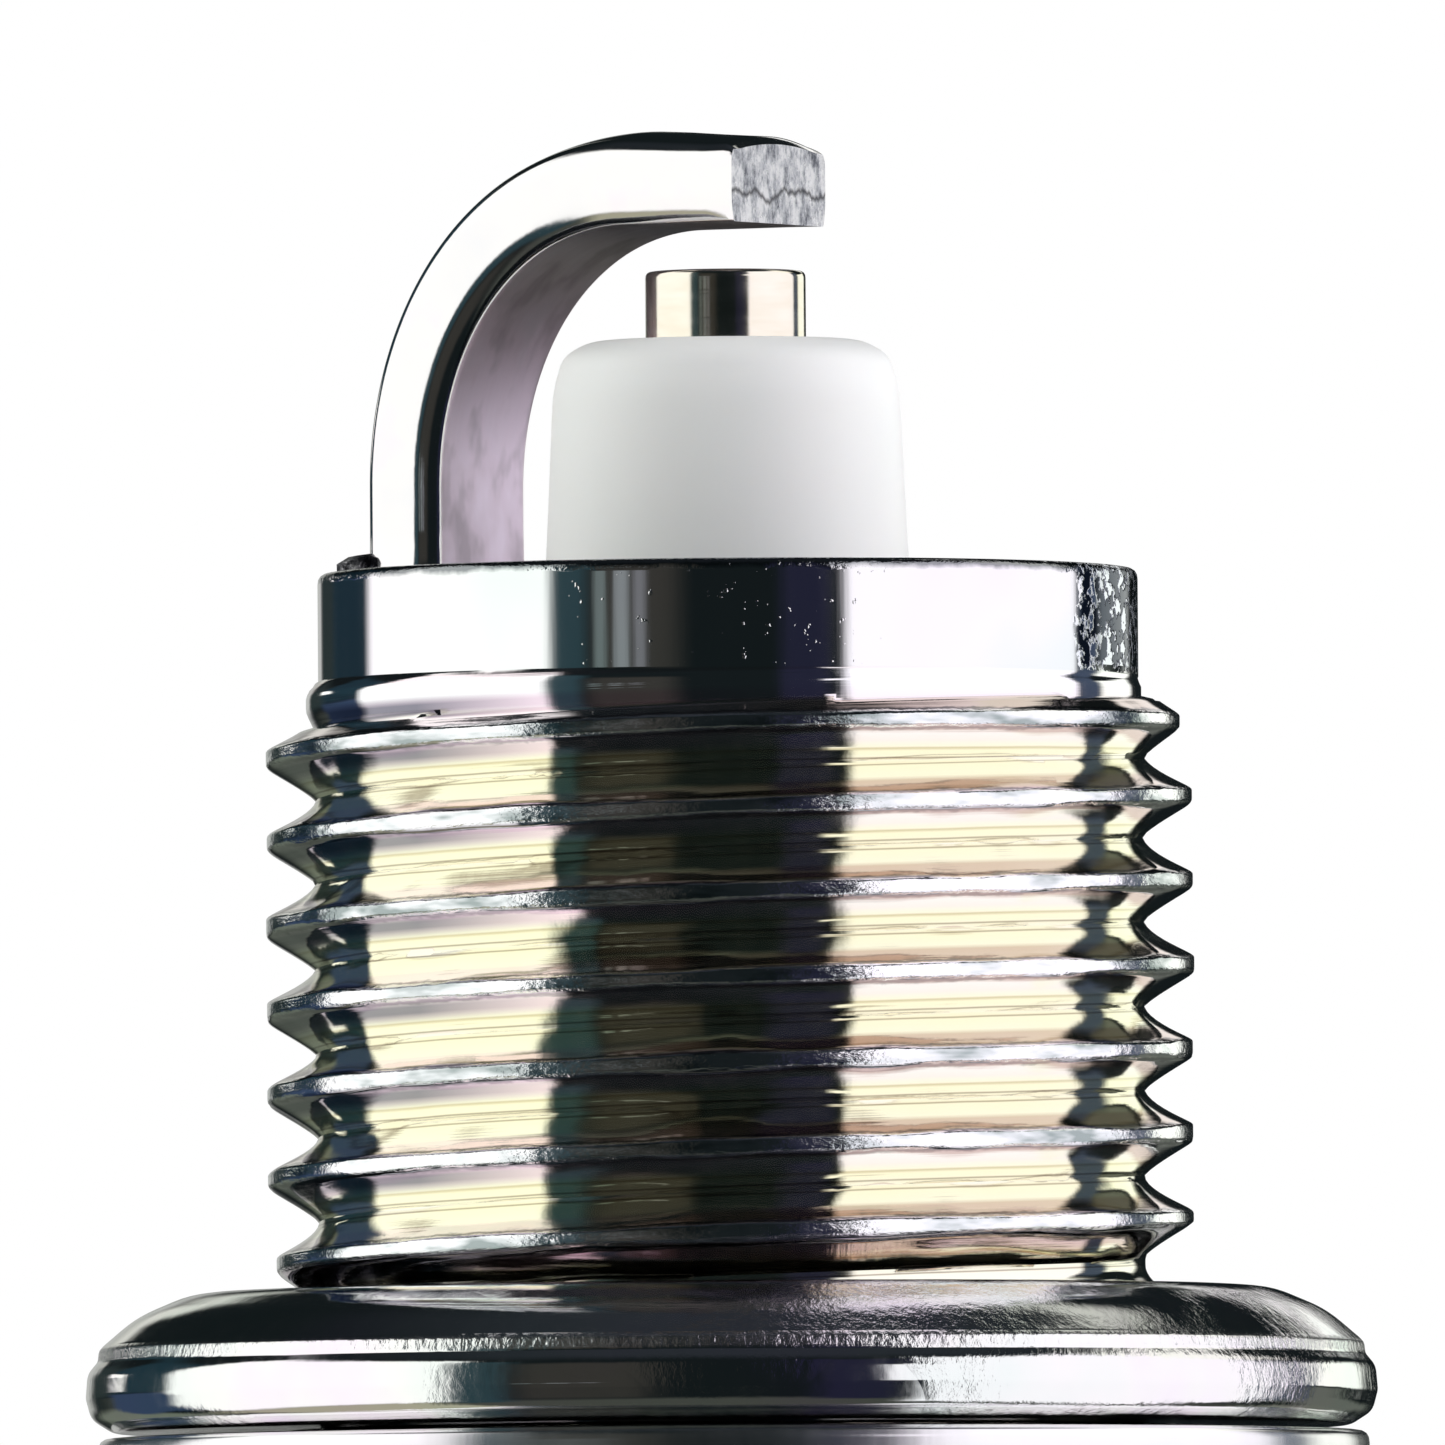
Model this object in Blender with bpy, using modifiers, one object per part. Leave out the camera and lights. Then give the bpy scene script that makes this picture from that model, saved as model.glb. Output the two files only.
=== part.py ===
"""Spark plug: M14 x 1.25 thread, 12.7 mm reach, flat seat with a captive crush gasket,
projected insulator nose, J-shaped ground electrode, 20.8 mm hexagon and removable terminal nut.

Frame: origin on the plug's axis in the plane of the shell's gasket seat, +Z towards the firing
end, -Z towards the terminal. Every piece is a separate object named for what it is.
"""

import math

import bmesh
import bpy
from mathutils import Matrix, Vector

MM = 0.001

# Shell, outside
REACH = 12.7 * MM
THREAD_PITCH = 1.25 * MM
THREAD_MAJOR_RADIUS = 6.86 * MM
THREAD_ROOT_RADIUS = 6.12 * MM
THREAD_CREST_AT_ZERO = 1.8 * MM
THREAD_FIRST_TURN = 0.05
THREAD_LAST_TURN = 7.5
PILOT_RADIUS = 6.08 * MM
PILOT_HEIGHT = 1.6 * MM
PILOT_CHAMFER = 0.18 * MM
NECK_RADIUS = 6.05 * MM
NECK_TOP = 1.7 * MM
COLLAR_RADIUS = 9.42 * MM
COLLAR_HEIGHT = 4.4 * MM
GROOVE_RADIUS = 8.1 * MM
GROOVE_HEIGHT = 1.8 * MM
HEX_ACROSS_FLATS = 20.8 * MM
HEX_TOP = -6.5 * MM
HEX_BOTTOM = -14.5 * MM
HEX_CHAMFER = 0.85 * MM
HEX_TURN = math.radians(30.0)
CRIMP_RADIUS = 8.35 * MM
CRIMP_BOTTOM = -16.7 * MM
CRIMP_LIP_RADIUS = 5.55 * MM

# Shell, inside
FIRING_BORE_RADIUS = 4.2 * MM
LEDGE_RADIUS = 3.6 * MM
LEDGE_TOP = 5.2 * MM
SEAT_TOP = 3.9 * MM
SEAT_DROP = 0.95 * MM
BODY_BORE_RADIUS = 4.85 * MM
CHAMBER_RADIUS = 7.0 * MM
CHAMBER_TOP = -6.2 * MM

# Insulator
NOSE_TOP = 16.1 * MM
NOSE_RADIUS = 2.58 * MM
NOSE_CORNER = 0.8 * MM
INSULATOR_BODY_RADIUS = 4.6 * MM
INSULATOR_WAIST_RADIUS = 6.7 * MM
INSULATOR_NECK_RADIUS = 5.3 * MM
INSULATOR_END = -44.5 * MM
INSULATOR_END_RADIUS = 4.15 * MM
RIB_COUNT = 5
RIB_PITCH = 3.0 * MM
RIB_GROOVE_DEPTH = 0.75 * MM
FIRST_RIB = -21.5 * MM
ELECTRODE_BORE_RADIUS = 1.3 * MM
STEM_BORE_RADIUS = 2.05 * MM

# Electrodes
CENTRE_ELECTRODE_RADIUS = 1.2 * MM
CENTRE_ELECTRODE_TOP = 17.15 * MM
ELECTRODE_HEAD_RADIUS = 1.9 * MM
ELECTRODE_HEAD_TOP = 1.7 * MM
CORE_RADIUS = 0.62 * MM
SPARK_GAP = 0.7 * MM
STRAP_WIDTH = 2.7 * MM
STRAP_THICKNESS = 1.36 * MM
STRAP_EDGE = 0.2 * MM
STRAP_FOOT = 4.93 * MM
STRAP_STRAIGHT_TOP = 14.0 * MM
STRAP_BEND_END = 1.0 * MM
STRAP_TIP = 0.93 * MM
STRAP_AZIMUTH = math.radians(-31.0)
STRAP_BEND_POWER = 2.1

# Gasket: a folded washer of thin sheet
GASKET_INNER_RADIUS = 6.97 * MM
GASKET_FLAT_RADIUS = 8.2 * MM
GASKET_OUTER_RADIUS = 9.56 * MM
GASKET_CURL_RADIUS = 6.45 * MM
GASKET_CURL_TOP = 1.25 * MM
GASKET_TOP = 2.05 * MM
GASKET_SHEET = 0.4 * MM

# Terminal stud and nut
STUD_SHANK_RADIUS = 1.85 * MM
STUD_TIP_RADIUS = 1.35 * MM
STUD_THREAD_PITCH = 0.7 * MM
STUD_THREAD_RADIUS = 1.97 * MM
STUD_CORE_RADIUS = 1.6 * MM
STUD_COLLAR_RADIUS = 2.9 * MM
STUD_COLLAR_HEIGHT = 0.6 * MM
STUD_END = -51.4 * MM
NUT_BORE_RADIUS = 2.05 * MM
NUT_HEAD_RADIUS = 3.175 * MM
NUT_GROOVE_RADIUS = 2.65 * MM
NUT_BASE_RADIUS = 3.5 * MM
TERMINAL_END = -53.0 * MM

# Gaps between solids
REST_GAP = 0.1 * MM
MOVING_GAP = 0.3 * MM

ROUND = 36
SMALL_ROUND = 18


def clear_scene():
    for item in list(bpy.data.objects):
        bpy.data.objects.remove(item, do_unlink=True)


def collection(name):
    group = bpy.data.collections.new(name)
    bpy.context.scene.collection.children.link(group)
    return group


clear_scene()
PLUG = collection("spark_plug")
CUTTERS = collection("cutters")


def material(name, colour, metallic, roughness):
    made = bpy.data.materials.new(name)
    made.use_nodes = True
    shader = made.node_tree.nodes["Principled BSDF"]
    shader.inputs["Base Color"].default_value = (*colour, 1.0)
    shader.inputs["Metallic"].default_value = metallic
    shader.inputs["Roughness"].default_value = roughness
    return made


def add_object(name, mesh, look=None):
    made = bpy.data.objects.new(name, mesh)
    PLUG.objects.link(made)
    if look:
        mesh.materials.append(look)
    return made


def hide_as_cutter(thing):
    for group in list(thing.users_collection):
        group.objects.unlink(thing)
    CUTTERS.objects.link(thing)
    thing.hide_render = True
    thing.display_type = "WIRE"


def smooth(thing, angle=35.0):
    thing.data.shade_smooth()
    thing.data.set_sharp_from_angle(angle=math.radians(angle))


def turned(name, profile, look=None, segments=ROUND):
    """A solid of revolution: a closed (radius, z) outline, outer side downwards, spun about Z."""
    mesh = bpy.data.meshes.new(name)
    corners = [(radius, 0.0, height) for radius, height in profile]
    count = len(corners)
    edges = [(i, i + 1) for i in range(count - 1)]
    if profile[0][0] > 0.0 or profile[-1][0] > 0.0:
        edges.append((count - 1, 0))
    mesh.from_pydata(corners, edges, [])
    made = add_object(name, mesh, look)
    spin = made.modifiers.new("spin", "SCREW")
    spin.axis = "Z"
    spin.angle = math.tau
    spin.steps = segments
    spin.render_steps = segments
    spin.use_merge_vertices = True
    spin.merge_threshold = 1e-6
    spin.use_normal_calculate = False
    return made


def applied(thing):
    """Turn an object's modifiers into its own mesh."""
    graph = bpy.context.evaluated_depsgraph_get()
    mesh = bpy.data.meshes.new_from_object(thing.evaluated_get(graph))
    thing.modifiers.clear()
    thing.data = mesh
    return thing


def boolean(thing, other, operation):
    step = thing.modifiers.new(operation.lower(), "BOOLEAN")
    step.operation = operation
    step.object = other
    step.solver = "EXACT"
    hide_as_cutter(other)


def arc(centre_r, centre_z, radius, start, end, steps):
    """Points on an arc of a profile, angles in degrees from +r towards +z."""
    points = []
    for i in range(steps + 1):
        angle = math.radians(start + (end - start) * i / steps)
        points.append((centre_r + radius * math.cos(angle), centre_z + radius * math.sin(angle)))
    return points


def fade(turn, first, last, run_in, run_out):
    """0 at both ends of a thread and 1 along its full turns."""
    start = min(1.0, (turn - first) / run_in)
    end = min(1.0, (last - turn) / run_out)
    return max(0.0, min(start, end))


def thread_ridge(name, root, major, pitch, zero_z, first, last, run_in, run_out, segments):
    """A helical ridge that starts and ends below the root surface, for a union with its core."""
    buried = 0.12 * (major - root) + 0.03 * MM
    half_root = 0.46 * pitch
    half_crest = 0.05 * pitch
    mesh = bmesh.new()
    rings = []
    steps = int(round((last - first) * segments))
    for i in range(steps + 1):
        turn = first + i / segments
        angle = math.tau * turn
        strength = fade(turn, first, last, run_in, run_out)
        lift = (major - root + buried) * strength
        wide = half_root * (0.25 + 0.75 * strength)
        crest = half_crest * (0.25 + 0.75 * strength)
        middle = zero_z + pitch * turn
        section = (
            (root - 2.0 * buried, wide),
            (root - buried, wide),
            (root - buried + lift, crest),
            (root - buried + lift, -crest),
            (root - buried, -wide),
            (root - 2.0 * buried, -wide),
        )
        ring = []
        for radius, offset in section:
            point = (radius * math.cos(angle), radius * math.sin(angle), middle + offset)
            ring.append(mesh.verts.new(point))
        rings.append(ring)
    size = len(rings[0])
    for near, far in zip(rings, rings[1:]):
        for k in range(size):
            after = (k + 1) % size
            mesh.faces.new((near[k], near[after], far[after], far[k]))
    mesh.faces.new(list(reversed(rings[0])))
    mesh.faces.new(rings[-1])
    bmesh.ops.recalc_face_normals(mesh, faces=mesh.faces)
    data = bpy.data.meshes.new(name)
    mesh.to_mesh(data)
    mesh.free()
    return add_object(name, data)


def shell_profile():
    """Outer side from the firing end down to the crimped lip, then up the stepped bore."""
    corner_radius = HEX_ACROSS_FLATS / 2.0 / math.cos(math.pi / 6.0)
    chamfer_radius = corner_radius - 1.75 * MM
    collar_bottom = -COLLAR_HEIGHT
    groove_bottom = collar_bottom - GROOVE_HEIGHT
    outer = [
        (PILOT_RADIUS - PILOT_CHAMFER, REACH),
        (PILOT_RADIUS, REACH - PILOT_CHAMFER),
        (PILOT_RADIUS, REACH - PILOT_HEIGHT),
        (THREAD_ROOT_RADIUS, REACH - PILOT_HEIGHT - 0.1 * MM),
        (THREAD_ROOT_RADIUS, NECK_TOP),
        (NECK_RADIUS, NECK_TOP - 0.2 * MM),
        (NECK_RADIUS, 0.0),
        (COLLAR_RADIUS - 0.15 * MM, 0.0),
        (COLLAR_RADIUS, -0.2 * MM),
        (COLLAR_RADIUS, collar_bottom + 0.3 * MM),
        (COLLAR_RADIUS - 0.4 * MM, collar_bottom),
        (GROOVE_RADIUS, collar_bottom - 0.3 * MM),
        (GROOVE_RADIUS, groove_bottom + 0.3 * MM),
        (chamfer_radius, HEX_TOP),
        (corner_radius + 0.05 * MM, HEX_TOP - HEX_CHAMFER),
        (corner_radius + 0.05 * MM, HEX_BOTTOM + HEX_CHAMFER),
        (chamfer_radius, HEX_BOTTOM),
        (CRIMP_RADIUS + 0.3 * MM, HEX_BOTTOM),
        (CRIMP_RADIUS, HEX_BOTTOM - 0.4 * MM),
    ]
    curl = arc(CRIMP_RADIUS - 1.3 * MM, CRIMP_BOTTOM + 1.3 * MM, 1.3 * MM, 0.0, -75.0, 4)
    lip = [
        (CRIMP_LIP_RADIUS, CRIMP_BOTTOM + 0.45 * MM),
        (CRIMP_LIP_RADIUS, CRIMP_BOTTOM + 1.1 * MM),
    ]
    inner = [
        (CHAMBER_RADIUS, CRIMP_BOTTOM + 1.75 * MM),
        (CHAMBER_RADIUS, CHAMBER_TOP),
        (BODY_BORE_RADIUS, CHAMBER_TOP + 1.7 * MM),
        (BODY_BORE_RADIUS, SEAT_TOP - SEAT_DROP),
        (LEDGE_RADIUS, SEAT_TOP),
        (LEDGE_RADIUS, LEDGE_TOP),
        (FIRING_BORE_RADIUS, LEDGE_TOP + 0.4 * MM),
        (FIRING_BORE_RADIUS, REACH - 0.12 * MM),
        (FIRING_BORE_RADIUS + 0.12 * MM, REACH),
    ]
    return outer + curl + lip + inner


def hexagon_prism(name, across, length):
    """A hexagonal prism about the origin with two of its flats facing +Y and -Y."""
    corner_radius = across / 2.0 / math.cos(math.pi / 6.0)
    mesh = bmesh.new()
    bmesh.ops.create_cone(
        mesh,
        cap_ends=True,
        segments=6,
        radius1=corner_radius,
        radius2=corner_radius,
        depth=length,
        matrix=Matrix.Rotation(HEX_TURN, 4, "Z"),
    )
    data = bpy.data.meshes.new(name)
    mesh.to_mesh(data)
    mesh.free()
    return add_object(name, data)


def make_shell():
    plating = material("bright_nickel_plating", (0.80, 0.80, 0.78), 1.0, 0.16)
    shell = turned("shell", shell_profile(), plating)
    hexagon = hexagon_prism("hexagon_cutter", HEX_ACROSS_FLATS, 40.0 * MM)
    boolean(shell, hexagon, "INTERSECT")
    ridge = thread_ridge(
        "shell_thread_ridge",
        THREAD_ROOT_RADIUS,
        THREAD_MAJOR_RADIUS,
        THREAD_PITCH,
        THREAD_CREST_AT_ZERO,
        THREAD_FIRST_TURN,
        THREAD_LAST_TURN,
        0.45,
        0.7,
        ROUND,
    )
    boolean(shell, ridge, "UNION")
    applied(shell)
    smooth(shell)
    return shell


def make_gasket():
    """A washer folded from one sheet: a top leaf that clears the thread's crests, a round bead, and a
    bottom leaf that turns up in the neck under the first thread, so that the washer can't come off."""
    zinc = material("gasket_steel", (0.78, 0.78, 0.76), 1.0, 0.2)
    low = REST_GAP
    leaf_bottom = GASKET_TOP - GASKET_SHEET
    edge = 0.05 * MM
    top_leaf = [
        (GASKET_INNER_RADIUS, GASKET_TOP - edge),
        (GASKET_INNER_RADIUS + edge, GASKET_TOP),
        (GASKET_FLAT_RADIUS, GASKET_TOP),
    ]
    bead = [
        (GASKET_OUTER_RADIUS - 0.71 * MM, 1.75 * MM),
        (GASKET_OUTER_RADIUS - 0.16 * MM, 1.15 * MM),
        (GASKET_OUTER_RADIUS, 0.55 * MM),
        (GASKET_OUTER_RADIUS - 0.13 * MM, 0.2 * MM),
        (GASKET_OUTER_RADIUS - 0.41 * MM, low),
    ]
    curl = [
        (GASKET_CURL_RADIUS + edge, low),
        (GASKET_CURL_RADIUS, low + edge),
        (GASKET_CURL_RADIUS, GASKET_CURL_TOP),
        (GASKET_CURL_RADIUS + GASKET_SHEET, GASKET_CURL_TOP),
        (GASKET_CURL_RADIUS + GASKET_SHEET, low + GASKET_SHEET),
    ]
    inside = [
        (GASKET_OUTER_RADIUS - 0.66 * MM, low + GASKET_SHEET),
        (GASKET_OUTER_RADIUS - 0.46 * MM, 0.7 * MM),
        (GASKET_OUTER_RADIUS - 0.61 * MM, 1.05 * MM),
        (GASKET_OUTER_RADIUS - 1.06 * MM, 1.45 * MM),
        (GASKET_FLAT_RADIUS - 0.1 * MM, leaf_bottom),
        (GASKET_INNER_RADIUS, leaf_bottom),
    ]
    profile = top_leaf + bead + curl + inside
    gasket = turned("gasket", profile, zinc)
    smooth(applied(gasket))


def insulator_profile():
    """Outer side from the nose to the terminal end, then up the stepped bore."""
    outer = [(ELECTRODE_BORE_RADIUS + 0.08 * MM, NOSE_TOP)]
    outer += arc(NOSE_RADIUS - NOSE_CORNER, NOSE_TOP - NOSE_CORNER, NOSE_CORNER, 90.0, 0.0, 4)
    outer += [
        (2.71 * MM, 12.6 * MM),
        (3.02 * MM, 8.5 * MM),
        (3.35 * MM, 5.6 * MM),
        (3.42 * MM, SEAT_TOP - 0.6 * MM),
        (INSULATOR_BODY_RADIUS, SEAT_TOP - 0.6 * MM - SEAT_DROP),
        (INSULATOR_BODY_RADIUS, CHAMBER_TOP + 1.4 * MM),
        (INSULATOR_WAIST_RADIUS, CHAMBER_TOP - 0.35 * MM),
        (INSULATOR_WAIST_RADIUS, CHAMBER_TOP - 3.4 * MM),
        (INSULATOR_NECK_RADIUS, CHAMBER_TOP - 4.4 * MM),
        (INSULATOR_NECK_RADIUS, FIRST_RIB + RIB_PITCH / 2.0),
    ]
    for k in range(RIB_COUNT):
        middle = FIRST_RIB - k * RIB_PITCH
        outer += [
            (INSULATOR_NECK_RADIUS - RIB_GROOVE_DEPTH, middle + 0.45 * MM),
            (INSULATOR_NECK_RADIUS - RIB_GROOVE_DEPTH, middle - 0.45 * MM),
            (INSULATOR_NECK_RADIUS, middle - 0.95 * MM),
            (INSULATOR_NECK_RADIUS, middle - RIB_PITCH + 0.95 * MM),
        ]
    outer += [
        (INSULATOR_END_RADIUS + 0.1 * MM, INSULATOR_END + 2.0 * MM),
        (INSULATOR_END_RADIUS, INSULATOR_END + 0.6 * MM),
        (INSULATOR_END_RADIUS - 0.5 * MM, INSULATOR_END),
    ]
    inner = [
        (STEM_BORE_RADIUS, INSULATOR_END),
        (STEM_BORE_RADIUS, ELECTRODE_HEAD_TOP + 0.1 * MM),
        (ELECTRODE_BORE_RADIUS, ELECTRODE_HEAD_TOP + 0.75 * MM),
        (ELECTRODE_BORE_RADIUS, NOSE_TOP - 0.08 * MM),
    ]
    return outer + inner


def make_insulator():
    alumina = material("alumina", (0.90, 0.91, 0.90), 0.0, 0.45)
    insulator = turned("insulator", insulator_profile(), alumina, 32)
    smooth(applied(insulator))
    return insulator


def make_centre_electrode():
    """A nickel jacket, open at its head end, around a copper core."""
    nickel = material("nickel_alloy", (0.72, 0.68, 0.60), 1.0, 0.22)
    copper = material("copper", (0.80, 0.42, 0.28), 1.0, 0.3)
    core_top = 13.5 * MM
    head_bottom = ELECTRODE_HEAD_TOP - 1.3 * MM
    jacket = [
        (0.0, CENTRE_ELECTRODE_TOP),
        (CENTRE_ELECTRODE_RADIUS - 0.08 * MM, CENTRE_ELECTRODE_TOP),
        (CENTRE_ELECTRODE_RADIUS, CENTRE_ELECTRODE_TOP - 0.08 * MM),
        (CENTRE_ELECTRODE_RADIUS, ELECTRODE_HEAD_TOP + 0.55 * MM),
        (ELECTRODE_HEAD_RADIUS, ELECTRODE_HEAD_TOP - 0.05 * MM),
        (ELECTRODE_HEAD_RADIUS, ELECTRODE_HEAD_TOP - 0.7 * MM),
        (1.35 * MM, ELECTRODE_HEAD_TOP - 0.8 * MM),
        (1.35 * MM, head_bottom),
        (CORE_RADIUS + 0.05 * MM, head_bottom),
        (CORE_RADIUS + 0.05 * MM, core_top + 0.1 * MM),
        (0.0, core_top + 0.4 * MM),
    ]
    core = [
        (0.0, core_top + 0.3 * MM),
        (CORE_RADIUS, core_top),
        (CORE_RADIUS, head_bottom),
        (0.0, head_bottom),
    ]
    smooth(applied(turned("centre_electrode", jacket, nickel, 32)))
    smooth(applied(turned("centre_electrode_copper_core", core, copper, SMALL_ROUND)))


def strap_centreline(steps):
    """Points (distance across the plug, z) of the strap: a rise, an elliptical bend and a flat tip."""
    tip_z = CENTRE_ELECTRODE_TOP + SPARK_GAP + STRAP_THICKNESS / 2.0
    across = STRAP_FOOT - STRAP_BEND_END
    rise = tip_z - STRAP_STRAIGHT_TOP
    points = [(-STRAP_FOOT, REACH + REST_GAP)]
    for i in range(steps + 1):
        angle = math.pi / 2.0 * i / steps
        side = math.cos(angle) ** (2.0 / STRAP_BEND_POWER) if i < steps else 0.0
        up = math.sin(angle) ** (2.0 / STRAP_BEND_POWER)
        points.append((-STRAP_BEND_END - across * side, STRAP_STRAIGHT_TOP + rise * up))
    points.append((STRAP_TIP, tip_z))
    return points


def strap_section(half_width, half_thickness, edge):
    """A rectangle with its four edges cut off, going once round."""
    return (
        (half_width - edge, half_thickness),
        (half_width, half_thickness - edge),
        (half_width, edge - half_thickness),
        (half_width - edge, -half_thickness),
        (edge - half_width, -half_thickness),
        (-half_width, edge - half_thickness),
        (-half_width, half_thickness - edge),
        (edge - half_width, half_thickness),
    )


def make_ground_electrode():
    """A flat bar, welded upright on the shell's end and bent over the centre electrode."""
    nickel = material("ground_strap_nickel", (0.80, 0.79, 0.77), 1.0, 0.18)
    path = [Vector((u, 0.0, z)) for u, z in strap_centreline(14)]
    section = strap_section(STRAP_WIDTH / 2.0, STRAP_THICKNESS / 2.0, STRAP_EDGE)
    mesh = bmesh.new()
    rings = []
    for i, point in enumerate(path):
        before = path[max(i - 1, 0)]
        after = path[min(i + 1, len(path) - 1)]
        along = (after - before).normalized()
        outward = Vector((-along.z, 0.0, along.x))
        ring = []
        for width, thickness in section:
            ring.append(mesh.verts.new(point + outward * thickness + Vector((0.0, width, 0.0))))
        rings.append(ring)
    for near, far in zip(rings, rings[1:]):
        for k in range(len(section)):
            after = (k + 1) % len(section)
            mesh.faces.new((near[k], near[after], far[after], far[k]))
    mesh.faces.new(rings[0])
    mesh.faces.new(rings[-1])
    bmesh.ops.recalc_face_normals(mesh, faces=mesh.faces)
    data = bpy.data.meshes.new("ground_electrode")
    mesh.to_mesh(data)
    mesh.free()
    strap = add_object("ground_electrode", data, nickel)
    strap.rotation_euler = (0.0, 0.0, STRAP_AZIMUTH)
    smooth(strap)


def plain_ring(name, inner, outer, top, bottom, look, edge):
    """A turned ring with chamfered corners."""
    profile = [
        (inner + edge, top),
        (outer - edge, top),
        (outer, top - edge),
        (outer, bottom + edge),
        (outer - edge, bottom),
        (inner + edge, bottom),
        (inner, bottom + edge),
        (inner, top - edge),
    ]
    smooth(applied(turned(name, profile, look, SMALL_ROUND)), 50.0)


def make_seals():
    """What keeps the insulator tight in the shell: a seat washer, two wire rings and packed talc."""
    steel = material("packing_steel", (0.55, 0.55, 0.55), 1.0, 0.4)
    powder = material("talc", (0.80, 0.79, 0.74), 0.0, 0.9)
    washer_inner = LEDGE_RADIUS + 0.15 * MM
    washer_outer = BODY_BORE_RADIUS - 0.15 * MM
    washer_thickness = 0.45 * MM
    slope = SEAT_DROP / (BODY_BORE_RADIUS - LEDGE_RADIUS)
    inner_top = SEAT_TOP - REST_GAP - slope * (washer_inner - LEDGE_RADIUS)
    outer_top = SEAT_TOP - REST_GAP - slope * (washer_outer - LEDGE_RADIUS)
    washer = [
        (washer_inner, inner_top),
        (washer_outer, outer_top),
        (washer_outer, outer_top - washer_thickness),
        (washer_inner, inner_top - washer_thickness),
    ]
    smooth(applied(turned("insulator_seat_washer", washer, steel, 32)))
    inner = INSULATOR_NECK_RADIUS + REST_GAP
    outer = CHAMBER_RADIUS - REST_GAP
    ring = 0.9 * MM
    lower_top = CHAMBER_TOP - 4.5 * MM
    upper_bottom = CRIMP_BOTTOM + 1.85 * MM
    talc_top = lower_top - ring - REST_GAP
    talc_bottom = upper_bottom + ring + REST_GAP
    plain_ring("lower_packing_ring", inner, outer, lower_top, lower_top - ring, steel, 0.25 * MM)
    plain_ring("talc_seal", inner, outer, talc_top, talc_bottom, powder, 0.1 * MM)
    plain_ring("upper_packing_ring", inner, outer, upper_bottom + ring, upper_bottom, steel, 0.25 * MM)


def make_stem_filling():
    """The conductive column in the insulator's bore: glass seal, resistor, glass seal."""
    glass = material("conductive_glass", (0.16, 0.15, 0.14), 0.0, 0.5)
    carbon = material("resistor_mix", (0.07, 0.07, 0.07), 0.0, 0.8)
    radius = STEM_BORE_RADIUS - REST_GAP
    top = ELECTRODE_HEAD_TOP - 1.3 * MM - REST_GAP
    resistor_top = top - 3.5 * MM
    resistor_bottom = resistor_top - 10.0 * MM
    seal_top = resistor_bottom - REST_GAP
    seal_bottom = seal_top - 4.2 * MM
    socket_top = seal_top - 1.0 * MM
    lower_bottom = resistor_top + REST_GAP
    lower = [
        (0.0, top),
        (radius, top),
        (radius, lower_bottom),
        (0.0, lower_bottom),
    ]
    resistor = [
        (0.0, resistor_top),
        (radius, resistor_top),
        (radius, resistor_bottom),
        (0.0, resistor_bottom),
    ]
    upper = [
        (0.0, seal_top),
        (radius, seal_top),
        (radius, seal_bottom),
        (STUD_TIP_RADIUS + REST_GAP, seal_bottom),
        (STUD_TIP_RADIUS + REST_GAP, socket_top),
        (0.0, socket_top),
    ]
    smooth(applied(turned("lower_glass_seal", lower, glass, SMALL_ROUND)))
    smooth(applied(turned("resistor", resistor, carbon, SMALL_ROUND)))
    smooth(applied(turned("upper_glass_seal", upper, glass, SMALL_ROUND)))
    return socket_top, seal_bottom


def make_terminal_stud(socket_top, seal_bottom):
    """A steel stud: a plain tip set in glass, a long shank, a collar and an M4 thread for the nut."""
    steel = material("terminal_steel", (0.74, 0.73, 0.70), 1.0, 0.25)
    collar_top = INSULATOR_END - REST_GAP
    collar_bottom = collar_top - STUD_COLLAR_HEIGHT
    tip_top = socket_top - REST_GAP
    profile = [
        (0.0, tip_top),
        (STUD_TIP_RADIUS, tip_top),
        (STUD_TIP_RADIUS, seal_bottom - REST_GAP),
        (STUD_SHANK_RADIUS, seal_bottom - 2.0 * REST_GAP),
        (STUD_SHANK_RADIUS, collar_top),
        (STUD_COLLAR_RADIUS, collar_top),
        (STUD_COLLAR_RADIUS, collar_bottom),
        (STUD_CORE_RADIUS, collar_bottom),
        (STUD_CORE_RADIUS, STUD_END + 0.3 * MM),
        (STUD_CORE_RADIUS - 0.3 * MM, STUD_END),
        (0.0, STUD_END),
    ]
    stud = turned("terminal_stud", profile, steel, SMALL_ROUND)
    turns = (collar_bottom - STUD_END) / STUD_THREAD_PITCH
    ridge = thread_ridge(
        "stud_thread_ridge",
        STUD_CORE_RADIUS,
        STUD_THREAD_RADIUS,
        STUD_THREAD_PITCH,
        STUD_END,
        0.7,
        turns - 0.7,
        0.5,
        0.5,
        SMALL_ROUND,
    )
    boolean(stud, ridge, "UNION")
    smooth(applied(stud))
    return collar_bottom


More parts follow.
